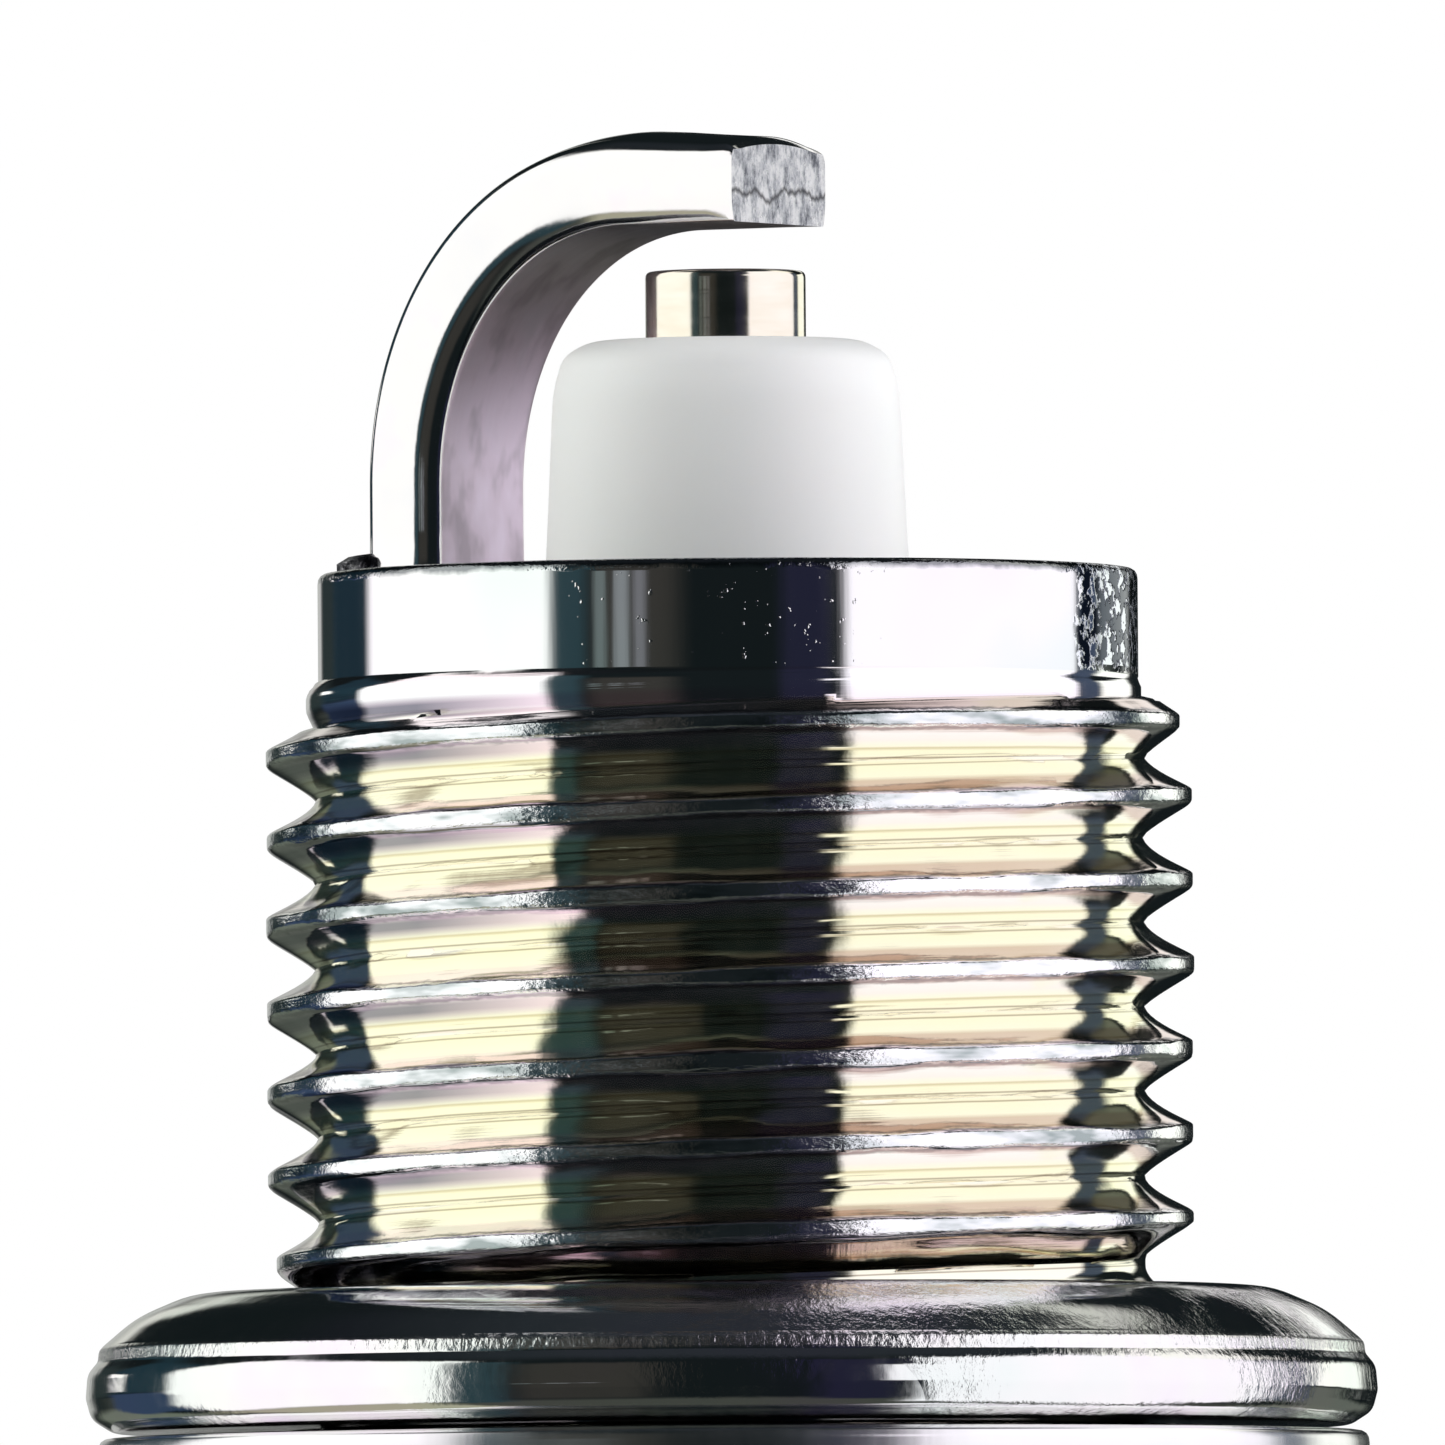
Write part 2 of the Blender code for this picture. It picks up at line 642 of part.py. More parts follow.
def make_terminal_nut(collar_bottom):
    """The removable nut: a base, a waist that the cap's clip snaps round, and a rounded head."""
    nickel = material("terminal_nut_nickel", (0.80, 0.79, 0.76), 1.0, 0.2)
    top = collar_bottom - REST_GAP
    base_bottom = top - 1.8 * MM
    waist_bottom = base_bottom - 2.0 * MM
    bore_end = STUD_END - MOVING_GAP
    corner = 0.7 * MM
    profile = [
        (NUT_BORE_RADIUS + 0.25 * MM, top),
        (NUT_BASE_RADIUS - 0.2 * MM, top),
        (NUT_BASE_RADIUS, top - 0.2 * MM),
        (NUT_BASE_RADIUS, base_bottom + 0.2 * MM),
        (NUT_BASE_RADIUS - 0.2 * MM, base_bottom),
        (NUT_GROOVE_RADIUS, base_bottom - 0.3 * MM),
        (NUT_GROOVE_RADIUS, waist_bottom + 0.3 * MM),
        (NUT_HEAD_RADIUS, waist_bottom - 0.2 * MM),
    ]
    profile += arc(NUT_HEAD_RADIUS - corner, TERMINAL_END + corner, corner, 0.0, -90.0, 3)
    profile += [
        (0.0, TERMINAL_END),
        (0.0, bore_end - 0.3 * MM),
        (NUT_BORE_RADIUS, bore_end),
        (NUT_BORE_RADIUS, top - 0.25 * MM),
    ]
    smooth(applied(turned("terminal_nut", profile, nickel, 32)))


def main():
    make_shell()
    make_gasket()
    make_insulator()
    make_centre_electrode()
    make_ground_electrode()
    make_seals()
    socket_top, seal_bottom = make_stem_filling()
    collar_bottom = make_terminal_stud(socket_top, seal_bottom)
    make_terminal_nut(collar_bottom)


main()
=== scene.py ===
"""The looks of the spark plug: fine surfaces, materials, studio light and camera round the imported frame."""

import math

import bmesh
import bpy
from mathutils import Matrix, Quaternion, Vector, noise


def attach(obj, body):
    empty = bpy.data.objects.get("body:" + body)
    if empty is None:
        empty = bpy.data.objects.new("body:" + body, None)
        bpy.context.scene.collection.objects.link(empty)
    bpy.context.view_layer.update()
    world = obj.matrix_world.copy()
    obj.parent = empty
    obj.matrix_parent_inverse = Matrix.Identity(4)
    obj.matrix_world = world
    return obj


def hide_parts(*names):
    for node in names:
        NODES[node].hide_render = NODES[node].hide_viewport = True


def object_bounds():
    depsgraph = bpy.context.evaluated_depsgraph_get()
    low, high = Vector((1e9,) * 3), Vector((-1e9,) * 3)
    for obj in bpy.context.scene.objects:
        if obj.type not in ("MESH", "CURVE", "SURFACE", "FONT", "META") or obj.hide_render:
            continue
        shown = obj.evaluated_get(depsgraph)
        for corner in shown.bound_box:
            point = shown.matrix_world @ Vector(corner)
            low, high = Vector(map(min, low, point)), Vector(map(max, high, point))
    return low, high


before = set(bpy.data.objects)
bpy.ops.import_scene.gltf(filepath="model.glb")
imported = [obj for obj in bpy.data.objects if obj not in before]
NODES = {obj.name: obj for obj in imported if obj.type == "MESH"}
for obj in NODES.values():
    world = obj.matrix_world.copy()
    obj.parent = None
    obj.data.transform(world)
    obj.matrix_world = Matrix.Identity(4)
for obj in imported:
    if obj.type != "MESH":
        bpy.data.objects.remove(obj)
CAD_LOW, CAD_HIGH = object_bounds()

MM = 0.001

# The shell's levels, radii and thread
SEAT_Z = -0.1 * MM
REACH = 12.7 * MM
PILOT_HEIGHT = 1.6 * MM
PILOT_BOTTOM = REACH - PILOT_HEIGHT
PILOT_RADIUS = 6.08 * MM
ROOT_RADIUS = 6.12 * MM
MAJOR_RADIUS = 6.86 * MM
NECK_RADIUS = 6.1 * MM
NECK_TOP = 1.2 * MM
THREAD_PITCH = 1.25 * MM
THREAD_CREST_AT_ZERO = 1.83 * MM
THREAD_FIRST_TURN = -0.9
THREAD_FULL_TURN = 0.95
THREAD_FADE_TURN = 6.6
THREAD_LAST_TURN = 7.85
THREAD_FLAT_TURN = 6.75
THREAD_FLAT_LEAD = 0.65 * MM
COLLAR_RADIUS = 9.42 * MM
COLLAR_BOTTOM = -4.4 * MM
GROOVE_RADIUS = 8.1 * MM
GROOVE_BOTTOM = -6.2 * MM
HEX_ACROSS_FLATS = 20.8 * MM
HEX_TOP = -6.5 * MM
HEX_BOTTOM = -14.5 * MM
CRIMP_RADIUS = 8.35 * MM
CRIMP_BOTTOM = -16.7 * MM
NUT_TRAVEL = 10.0 * MM

# Half size of the floor, and how far it lies below the nut's lowest place
FLOOR_HALF = 6.0
FLOOR_GAP = 0.3 * MM

# Steps round the plug's axis for the shell and the gasket
AROUND = 288


# Meshes


def new_piece(name, mesh, material, angle=None, creases=()):
    """Make an object from a bmesh, with its faces pointing out and level creases at some heights."""
    bmesh.ops.recalc_face_normals(mesh, faces=mesh.faces)
    data = bpy.data.meshes.new(name)
    mesh.to_mesh(data)
    mesh.free()
    piece = bpy.data.objects.new(name, data)
    bpy.context.scene.collection.objects.link(piece)
    for one in material if isinstance(material, (list, tuple)) else [material]:
        data.materials.append(one)
    data.shade_smooth()
    if angle:
        data.set_sharp_from_angle(angle=math.radians(angle))
    for edge in data.edges if creases else ():
        heights = [data.vertices[i].co.z for i in edge.vertices]
        if any(max(abs(z - level) for z in heights) < 1e-7 for level in creases):
            edge.use_edge_sharp = True
    return piece


def rounded(profile, steps=4):
    """A (radius, z, rounding) outline with each corner cut back by its rounding and turned in steps."""
    points = []
    count = len(profile)
    for i, (r, z, cut) in enumerate(profile):
        here = Vector((r, z))
        if cut <= 0.0 or i in (0, count - 1):
            points.append((r, z))
            continue
        before = Vector(profile[i - 1][:2]) - here
        after = Vector(profile[i + 1][:2]) - here
        cut = min(cut, 0.42 * before.length, 0.42 * after.length)
        start = here + before.normalized() * cut
        end = here + after.normalized() * cut
        points.append(tuple(here + before.normalized() * cut * 1.15))
        for k in range(steps + 1):
            t = k / steps
            mixed = start * (1 - t) ** 2 + here * (2 * t * (1 - t)) + end * t * t
            points.append(tuple(mixed))
        points.append(tuple(here + after.normalized() * cut * 1.15))
    return points


def spin(mesh, profile, around, shape=None):
    """Rings of a (radius, z) outline about the axis; shape may move a point by its angle."""
    rings = []
    for r, z in profile:
        if r <= 1e-9:
            rings.append([mesh.verts.new((0.0, 0.0, z))])
            continue
        ring = []
        for i in range(around):
            angle = math.tau * i / around
            rr, zz = shape(angle, r, z) if shape else (r, z)
            ring.append(mesh.verts.new((rr * math.cos(angle), rr * math.sin(angle), zz)))
        rings.append(ring)
    for one, two in zip(rings, rings[1:]):
        for i in range(around):
            j = (i + 1) % around
            if len(one) == 1 and len(two) == 1:
                break
            if len(one) == 1:
                mesh.faces.new((one[0], two[i], two[j]))
            elif len(two) == 1:
                mesh.faces.new((one[i], one[j], two[0]))
            else:
                mesh.faces.new((one[i], one[j], two[j], two[i]))
    return rings


def thread_skin(mesh, pitch, crest_at_zero, low, high, offsets, around, radius_at):
    """A threaded band between two level circles; its rows follow the helix, so a crest is one clean line."""
    first = math.floor((low - crest_at_zero) / pitch) - 2
    last = math.ceil((high - crest_at_zero) / pitch) + 1
    rows = [(turn, offset) for turn in range(first, last + 1) for offset in offsets]
    per_turn = len(offsets)
    grid = []
    for i in range(around):
        part = i / around
        angle = math.tau * part
        column = []
        for turn, offset in rows:
            z = crest_at_zero + pitch * (turn + offset + part)
            z = min(max(z, low), high)
            r = radius_at(angle, z)
            column.append(mesh.verts.new((r * math.cos(angle), r * math.sin(angle), z)))
        grid.append(column)
    for i in range(around):
        step = per_turn if i == around - 1 else 0
        near, far = grid[i], grid[(i + 1) % around]
        for k in range(len(rows) - 1):
            if k + 1 + step >= len(rows):
                break
            corners = (near[k], far[k + step], far[k + 1 + step], near[k + 1])
            if max(v.co.z for v in corners) - min(v.co.z for v in corners) < 1e-9:
                continue
            mesh.faces.new(corners)


def store(mesh, names, values_at):
    """Keep numbers at every point of a mesh for its material to read."""
    layers = [mesh.verts.layers.float.new(name) for name in names]
    for v in mesh.verts:
        for layer, value in zip(layers, values_at(v.co)):
            v[layer] = value


def weld(mesh, distance=2e-7):
    bmesh.ops.remove_doubles(mesh, verts=mesh.verts, dist=distance)
    loose = [v for v in mesh.verts if not v.link_faces]
    bmesh.ops.delete(mesh, geom=loose, context="VERTS")


def smooth_min(a, b, width):
    blend = max(width - abs(a - b), 0.0) / width
    return min(a, b) - blend * blend * width * 0.25


def ridge(distance, reach, land, tip, power):
    """Height, 1 on a thread's crest and 0 at its root, at an axial distance from the crest's middle."""
    beyond = max(distance - land, 0.0)
    beyond = math.sqrt(beyond * beyond + tip * tip) - tip
    return max(0.0, 1.0 - beyond / reach) ** power


def ramp(value, low, high):
    t = min(max((value - low) / (high - low), 0.0), 1.0)
    return t * t * (3.0 - 2.0 * t)


# Pieces


def thread_crest_z(turn):
    """Height of the crest at a number of turns; its lead gets shorter where the rolling ran out."""
    full = min(turn, THREAD_FLAT_TURN)
    return THREAD_CREST_AT_ZERO + THREAD_PITCH * full + THREAD_FLAT_LEAD * (turn - full)


def nearest_crest(angle, z):
    """Turn number of the crest nearest to a point, and the point's height above it."""
    part = angle / math.tau
    first = math.floor((z - THREAD_CREST_AT_ZERO) / THREAD_PITCH - part)
    turns = [first + k + part for k in range(-1, 4)]
    turn = min(turns, key=lambda t: abs(z - thread_crest_z(t)))
    return turn, z - thread_crest_z(turn)


def thread_strength(turn):
    """0 where the thread has not begun or has run out, 1 along its full turns."""
    strength = ramp(turn, THREAD_FIRST_TURN, THREAD_FULL_TURN)
    return strength * (1.0 - ramp(turn, THREAD_FADE_TURN, THREAD_LAST_TURN))


def shell_thread_radius(angle, z):
    """The rolled M14 thread: full crests that fade in above the neck and out below the pilot."""
    turn, offset = nearest_crest(angle, z)
    strength = thread_strength(turn)
    reach, power = (0.48 * MM, 1.2) if offset < 0.0 else (0.52 * MM, 1.75)
    if offset < 0.0 or turn < 4.0:
        reach *= 0.6 + 0.4 * strength
    place = Vector((math.cos(angle) * 2.6, math.sin(angle) * 2.6, turn * 1.7))
    wobble = noise.noise(place)
    land = (0.085 + 0.06 * noise.noise(place * 1.7)) * MM
    tip = (0.05 + 0.03 * wobble) * MM
    depth = (MAJOR_RADIUS - ROOT_RADIUS) * (1.0 + 0.05 * wobble)
    # The fold that rolling leaves just below the crest
    rough = noise.noise(Vector((angle * 42.0, turn * 3.0, offset / MM * 5.0)))
    seam = max(0.0, 1.0 - abs(offset + 0.11 * MM) / (0.05 * MM))
    level = ROOT_RADIUS + depth * strength * ridge(abs(offset), reach, land, tip, power)
    level -= strength * seam * (0.012 + 0.015 * rough) * MM
    # Into a shallow relief and the pilot at the top, into the neck at the bottom
    level -= 0.05 * MM * ramp(z, PILOT_BOTTOM - 0.16 * MM, PILOT_BOTTOM - 0.05 * MM)
    level += (PILOT_RADIUS - level) * ramp(z, PILOT_BOTTOM - 0.03 * MM, PILOT_BOTTOM)
    return level + (NECK_RADIUS - level) * ramp(z, NECK_TOP + 0.2 * MM, NECK_TOP)


def hexagon_radius(angle):
    """Distance from the axis to the hexagon, its corners slightly rounded."""
    half = HEX_ACROSS_FLATS / 2.0
    corner = 0.12 * MM
    nearest = None
    for k in range(6):
        face = math.pi / 6.0 + k * math.pi / 3.0
        cosine = math.cos(angle - face)
        if cosine > 0.2:
            flat = half / cosine
            nearest = flat if nearest is None else smooth_min(nearest, flat, corner)
    return nearest


def hexed(angle, r, z):
    """Cut a turned point back to the hexagon's flats."""
    if r < 9.6 * MM:
        return r, z
    return smooth_min(r, hexagon_radius(angle), 0.12 * MM), z


def shell_upper_profile():
    """Pilot and end face, then down the firing bore."""
    return rounded(
        [
            (PILOT_RADIUS, PILOT_BOTTOM, 0.0),
            (PILOT_RADIUS, REACH, 0.16 * MM),
            (4.2 * MM, REACH, 0.12 * MM),
            (4.2 * MM, 5.6 * MM, 0.2 * MM),
            (3.6 * MM, 5.2 * MM, 0.1 * MM),
            (3.6 * MM, 3.9 * MM, 0.1 * MM),
            (4.85 * MM, 2.95 * MM, 0.1 * MM),
            (4.85 * MM, -4.5 * MM, 0.1 * MM),
            (7.0 * MM, -6.2 * MM, 0.1 * MM),
            (7.0 * MM, CRIMP_BOTTOM + 1.75 * MM, 0.1 * MM),
            (5.6 * MM, CRIMP_BOTTOM + 1.1 * MM, 0.05 * MM),
            (5.56 * MM, CRIMP_BOTTOM + 0.7 * MM, 0.0),
        ]
    )


def shell_lower_profile():
    """Neck, gasket seat, collar, groove, hexagon and the crimped lip."""
    corner = HEX_ACROSS_FLATS / 2.0 / math.cos(math.pi / 6.0)
    chamfer = corner - 1.75 * MM
    outline = rounded(
        [
            (NECK_RADIUS, NECK_TOP, 0.0),
            (NECK_RADIUS, SEAT_Z, 0.15 * MM),
            (COLLAR_RADIUS, SEAT_Z, 0.18 * MM),
            (COLLAR_RADIUS, COLLAR_BOTTOM, 0.4 * MM),
            (GROOVE_RADIUS, COLLAR_BOTTOM - 0.25 * MM, 0.35 * MM),
            (GROOVE_RADIUS, GROOVE_BOTTOM + 0.2 * MM, 0.35 * MM),
            (chamfer, HEX_TOP, 0.25 * MM),
        ]
    )
    steps = 12
    for k in range(1, steps + 1):
        t = k / steps
        outline.append((chamfer + (corner + 0.1 * MM - chamfer) * t, HEX_TOP - 0.95 * MM * t ** 1.15))
    top, bottom = HEX_TOP - 0.95 * MM, HEX_BOTTOM + 0.95 * MM
    rows = 10
    outline += [(corner + 0.1 * MM, top + (bottom - top) * k / rows) for k in range(1, rows + 1)]
    for k in range(1, steps + 1):
        t = 1.0 - k / steps
        outline.append((chamfer + (corner + 0.1 * MM - chamfer) * t, HEX_BOTTOM + 0.95 * MM * t ** 1.15))
    outline += rounded(
        [
            (chamfer - 0.3 * MM, HEX_BOTTOM - 0.05 * MM, 0.0),
            (CRIMP_RADIUS + 0.1 * MM, HEX_BOTTOM - 0.15 * MM, 0.3 * MM),
            (CRIMP_RADIUS, CRIMP_BOTTOM, 1.3 * MM),
            (5.6 * MM, CRIMP_BOTTOM + 0.35 * MM, 0.35 * MM),
            (5.56 * MM, CRIMP_BOTTOM + 0.7 * MM, 0.0),
        ],
        8,
    )
    return outline


def crest_phase(place):
    """How far round the thread's profile a point lies, as (cosine, sine, strength); a crest is (1, 0)."""
    turn, offset = nearest_crest(math.atan2(place.y, place.x) % math.tau, place.z)
    phase = math.tau * offset / THREAD_PITCH
    return math.cos(phase), math.sin(phase), thread_strength(turn)


def make_shell(plating):
    mesh = bmesh.new()
    offsets = [0.0, 0.02, 0.04, 0.06, 0.08, 0.1, 0.12, 0.15, 0.19, 0.24, 0.29, 0.34, 0.39, 0.44, 0.5]
    offsets += [1.0 - t for t in reversed(offsets[1:-1])]
    thread_skin(
        mesh,
        THREAD_PITCH,
        THREAD_CREST_AT_ZERO,
        NECK_TOP,
        PILOT_BOTTOM,
        offsets,
        AROUND,
        shell_thread_radius,
    )
    spin(mesh, shell_upper_profile(), AROUND)
    spin(mesh, shell_lower_profile(), AROUND, hexed)
    weld(mesh)
    store(mesh, ("crest_cosine", "crest_sine", "crest_strength"), crest_phase)
    shell = new_piece("shell_body", mesh, plating, 40, [PILOT_BOTTOM])
    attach(shell, "plug")
    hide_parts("shell")
    return shell


def make_gasket(sheet):
    """The folded washer: flat top, a sloping band, a crease and a round bead, never quite even."""
    mesh = bmesh.new()
    inner = 6.68 * MM
    outline = rounded(
        [
            (inner, 1.6 * MM, 0.0),
            (inner, 2.06 * MM, 0.12 * MM),
            (8.0 * MM, 2.04 * MM, 0.3 * MM),
            (8.80 * MM, 1.70 * MM, 0.3 * MM),
            (9.30 * MM, 1.27 * MM, 0.06 * MM),
            (9.36 * MM, 1.20 * MM, 0.04 * MM),
            (9.38 * MM, 1.04 * MM, 0.04 * MM),
            (9.53 * MM, 0.86 * MM, 0.15 * MM),
            (9.56 * MM, 0.50 * MM, 0.04 * MM),
            (9.48 * MM, 0.19 * MM, 0.12 * MM),
            (9.15 * MM, -0.02 * MM, 0.1 * MM),
            (6.5 * MM, 0.0, 0.1 * MM),
            (6.45 * MM, 1.15 * MM, 0.1 * MM),
            (6.85 * MM, 1.15 * MM, 0.1 * MM),
            (6.9 * MM, 0.45 * MM, 0.1 * MM),
            (8.9 * MM, 0.45 * MM, 0.2 * MM),
            (9.0 * MM, 0.8 * MM, 0.1 * MM),
            (8.4 * MM, 1.35 * MM, 0.2 * MM),
            (7.8 * MM, 1.6 * MM, 0.2 * MM),
            (inner, 1.6 * MM, 0.0),
        ],
        5,
    )[:-1]

    def uneven(angle, r, z):
        turn = Vector((math.cos(angle) * 1.3, math.sin(angle) * 1.3, 0.4))
        outer = ramp(r, 7.2 * MM, 9.4 * MM)
        high = ramp(z, 0.2 * MM, 1.2 * MM)
        shift = (0.02 + noise.noise(turn) * 0.05) * MM * outer
        lift = noise.noise(turn * 2.0 + Vector((5.0, 0.0, 0.0))) * 0.04 * MM * outer * high
        dents = noise.noise(Vector((angle * 9.0, r / MM * 1.5, z / MM * 1.5)))
        return r + shift, z + lift + dents * 0.008 * MM * outer * high

    rings = spin(mesh, outline, AROUND, uneven)
    for i in range(AROUND):
        j = (i + 1) % AROUND
        mesh.faces.new((rings[-1][i], rings[-1][j], rings[0][j], rings[0][i]))
    gasket = new_piece("crush_gasket", mesh, sheet, 50)
    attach(gasket, "gasket_washer")
    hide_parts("gasket")


def make_insulator(ceramic):
    mesh = bmesh.new()
    nose_top = 16.12 * MM
    outline = [
        (1.22 * MM, nose_top - 1.0 * MM, 0.0),
        (1.24 * MM, nose_top, 0.05 * MM),
        (2.02 * MM, nose_top, 0.25 * MM),
        (2.42 * MM, nose_top - 0.22 * MM, 0.2 * MM),
        (2.57 * MM, nose_top - 0.75 * MM, 0.35 * MM),
        (2.70 * MM, 12.6 * MM, 1.0 * MM),
        (3.02 * MM, 8.5 * MM, 1.0 * MM),
        (3.35 * MM, 5.6 * MM, 0.5 * MM),
        (3.42 * MM, 3.3 * MM, 0.1 * MM),
        (4.60 * MM, 2.35 * MM, 0.1 * MM),
        (4.60 * MM, -4.8 * MM, 0.2 * MM),
        (6.60 * MM, -6.55 * MM, 0.2 * MM),
        (6.60 * MM, -9.6 * MM, 0.2 * MM),
        (5.30 * MM, -10.6 * MM, 0.2 * MM),
    ]
    rib_count, rib_pitch, rib_depth, rib_top = 5, 3.0 * MM, 0.75 * MM, -20.9 * MM
    outline.append((5.30 * MM, rib_top, 0.35 * MM))
    for k in range(rib_count):
        z = rib_top - k * rib_pitch
        outline += [
            (5.30 * MM - rib_depth, z - 0.45 * MM, 0.45 * MM),
            (5.30 * MM - rib_depth, z - 0.85 * MM, 0.45 * MM),
            (5.30 * MM, z - 1.3 * MM, 0.45 * MM),
        ]
        if k < rib_count - 1:
            outline.append((5.30 * MM, z - rib_pitch, 0.45 * MM))
    outline += [
        (5.25 * MM, -35.6 * MM, 0.6 * MM),
        (4.25 * MM, -42.6 * MM, 0.8 * MM),
        (4.15 * MM, -44.5 * MM, 0.5 * MM),
        (2.1 * MM, -44.5 * MM, 0.1 * MM),
        (2.1 * MM, -43.0 * MM, 0.0),
    ]
    rings = spin(mesh, rounded(outline, 6), 160)
    for ring in (rings[0], rings[-1]):
        mesh.faces.new(ring)
    insulator = new_piece("ceramic_insulator", mesh, ceramic, 50)
    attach(insulator, "plug")
    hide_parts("insulator")


def make_centre_electrode(nickel):
    mesh = bmesh.new()
    radius, top, bottom = 1.19 * MM, 17.15 * MM, 14.9 * MM
    outline = [
        (0.0, top, 0.0),
        (radius, top, 0.10 * MM),
        (radius, bottom, 0.0),
        (0.0, bottom, 0.0),
    ]
    points = rounded(outline, 4)
    points.insert(1, (0.6 * MM, top))
    spin(mesh, points, 96)
    tip = new_piece("centre_electrode_tip", mesh, nickel, 50)
    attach(tip, "plug")
    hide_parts("centre_electrode")


# The ground electrode's bar: its outer side is crowned and its sides are rolled under towards the axis
STRAP_YAW = math.radians(-31.0)
STRAP_HALF_WIDTH = 1.35 * MM
STRAP_OUTER = 0.73 * MM
STRAP_INNER = 0.70 * MM
STRAP_CROWN = 0.17 * MM
STRAP_SHOULDER = 0.32 * MM
STRAP_SHOULDER_TURN = math.radians(65.0)
STRAP_ROLL_RADIUS = 0.62 * MM
STRAP_ROLL = 0.44 * MM
STRAP_FOOT = 4.93 * MM
STRAP_STRAIGHT_TOP = 14.0 * MM
STRAP_BEND_END = 1.0 * MM
STRAP_TIP = 0.93 * MM
STRAP_TIP_Z = 18.53 * MM
STRAP_BEND_POWER = 2.08


def strap_line(steps):
    """Centre line of the bar in its own plane: straight rise, elliptical bend, flat tip."""
    across = STRAP_FOOT - STRAP_BEND_END
    rise = STRAP_TIP_Z - STRAP_STRAIGHT_TOP
    points = [Vector((-STRAP_FOOT, 0.0, REACH + t * MM)) for t in (0.02, 0.12, 0.3, 0.7, 1.0)]
    for k in range(steps + 1):
        a = math.pi / 2.0 * k / steps
        side = max(math.cos(a), 0.0) ** (2.0 / STRAP_BEND_POWER)
        up = math.sin(a) ** (2.0 / STRAP_BEND_POWER)
        points.append(Vector((-STRAP_BEND_END - across * side, 0.0, STRAP_STRAIGHT_TOP + rise * up)))
    flat = STRAP_TIP + STRAP_BEND_END
    for t in (0.25, 0.5, 0.75, 0.92, 0.97, 1.0):
        points.append(Vector((-STRAP_BEND_END + flat * t, 0.0, STRAP_TIP_Z)))
    return points


def bar_section():
    """Points (across, through) round the bar, starting at the middle of its crowned outer side."""
    half = []
    edge = STRAP_HALF_WIDTH - STRAP_SHOULDER * (1.0 - math.cos(STRAP_SHOULDER_TURN))
    for k in range(13):
        across = k / 12
        half.append((edge * across, STRAP_OUTER - STRAP_CROWN * across * across))
    shoulder = STRAP_OUTER - STRAP_CROWN - STRAP_SHOULDER * math.sin(STRAP_SHOULDER_TURN)
    for k in range(7, 0, -1):
        turn = STRAP_SHOULDER_TURN * k / 8
        back = STRAP_SHOULDER * (1.0 - math.cos(turn))
        half.append((STRAP_HALF_WIDTH - back, shoulder + STRAP_SHOULDER * math.sin(turn)))
    roll_top = STRAP_ROLL - STRAP_INNER
    for k in range(7):
        half.append((STRAP_HALF_WIDTH, shoulder + (roll_top - shoulder) * k / 6))
    for k in range(1, 11):
        down = STRAP_ROLL * k / 10 * 0.92
        back = STRAP_ROLL_RADIUS - math.sqrt(STRAP_ROLL_RADIUS ** 2 - down * down)
        half.append((STRAP_HALF_WIDTH - back, roll_top - down))
    edge_across, edge_through = half[-1]
    for across, share in ((0.025, 0.6), (0.06, 0.9), (0.10, 1.0), (0.16, 1.0)):
        through = edge_through + (-STRAP_INNER - edge_through) * share
        half.append((edge_across - across * MM, through))
    half += [((edge_across - 0.16 * MM) * k / 8, -STRAP_INNER) for k in range(7, 0, -1)]
    other = [(-across, through) for across, through in reversed(half[1:])]
    return half + [(0.0, -STRAP_INNER)] + other


def make_ground_electrode(bar_metal, sheared_metal, rubbed_metal):
    mesh = bmesh.new()
    along_layer = mesh.verts.layers.float.new("along")
    across_layer = mesh.verts.layers.float.new("across")
    through_layer = mesh.verts.layers.float.new("through")
    travelled = 0.0
    path = strap_line(64)
    section = bar_section()
    rings = []
    for i, point in enumerate(path):
        before, after = path[max(i - 1, 0)], path[min(i + 1, len(path) - 1)]
        along = (after - before).normalized()
        outward = Vector((-along.z, 0.0, along.x))
        # The foot swells at the weld, and the outer side falls towards the tip, most at its pulled-over edge
        foot = 1.0 - ramp(point.z, REACH, REACH + 0.45 * MM) if point.x < -4.0 * MM else 0.0
        grow = 1.0 + 0.07 * foot * foot
        ring = []
        from_tip = STRAP_TIP - point.x
        slope = 0.12 * MM * ramp(-from_tip, -2.2 * MM, 0.0)
        sheared = 0.13 * MM * max(0.0, 1.0 - from_tip / (0.2 * MM)) ** 2
        for width, thickness in section:
            if thickness > 0.0:
                thickness -= (slope + sheared) * thickness / STRAP_OUTER
            if abs(width) > 0.8 * STRAP_HALF_WIDTH and from_tip < 0.25 * MM:
                squarer = 0.65 * (1.0 - from_tip / (0.25 * MM))
                width += (math.copysign(STRAP_HALF_WIDTH, width) - width) * squarer
            place = point + outward * thickness * grow + Vector((0.0, width * grow, 0.0))
            corner = mesh.verts.new(place)
            corner[along_layer] = travelled
            corner[across_layer] = width / MM
            corner[through_layer] = thickness / MM
            ring.append(corner)
        travelled += (after - point).length / MM
        rings.append(ring)
    size = len(section)
    for one, two in zip(rings, rings[1:]):
        for k in range(size):
            j = (k + 1) % size
            mesh.faces.new((one[k], one[j], two[j], two[k]))
    mesh.faces.new(rings[0])
    tip = mesh.faces.new(rings[-1])
    tip.material_index = 1
    for face in mesh.faces:
        if all(v[through_layer] < 0.02 - STRAP_INNER / MM for v in face.verts) and face != tip:
            face.material_index = 2
    bar = new_piece("ground_electrode_bar", mesh, [bar_metal, sheared_metal, rubbed_metal], 40)
    bar.rotation_euler = (0.0, 0.0, STRAP_YAW)
    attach(bar, "plug")
    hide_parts("ground_electrode")


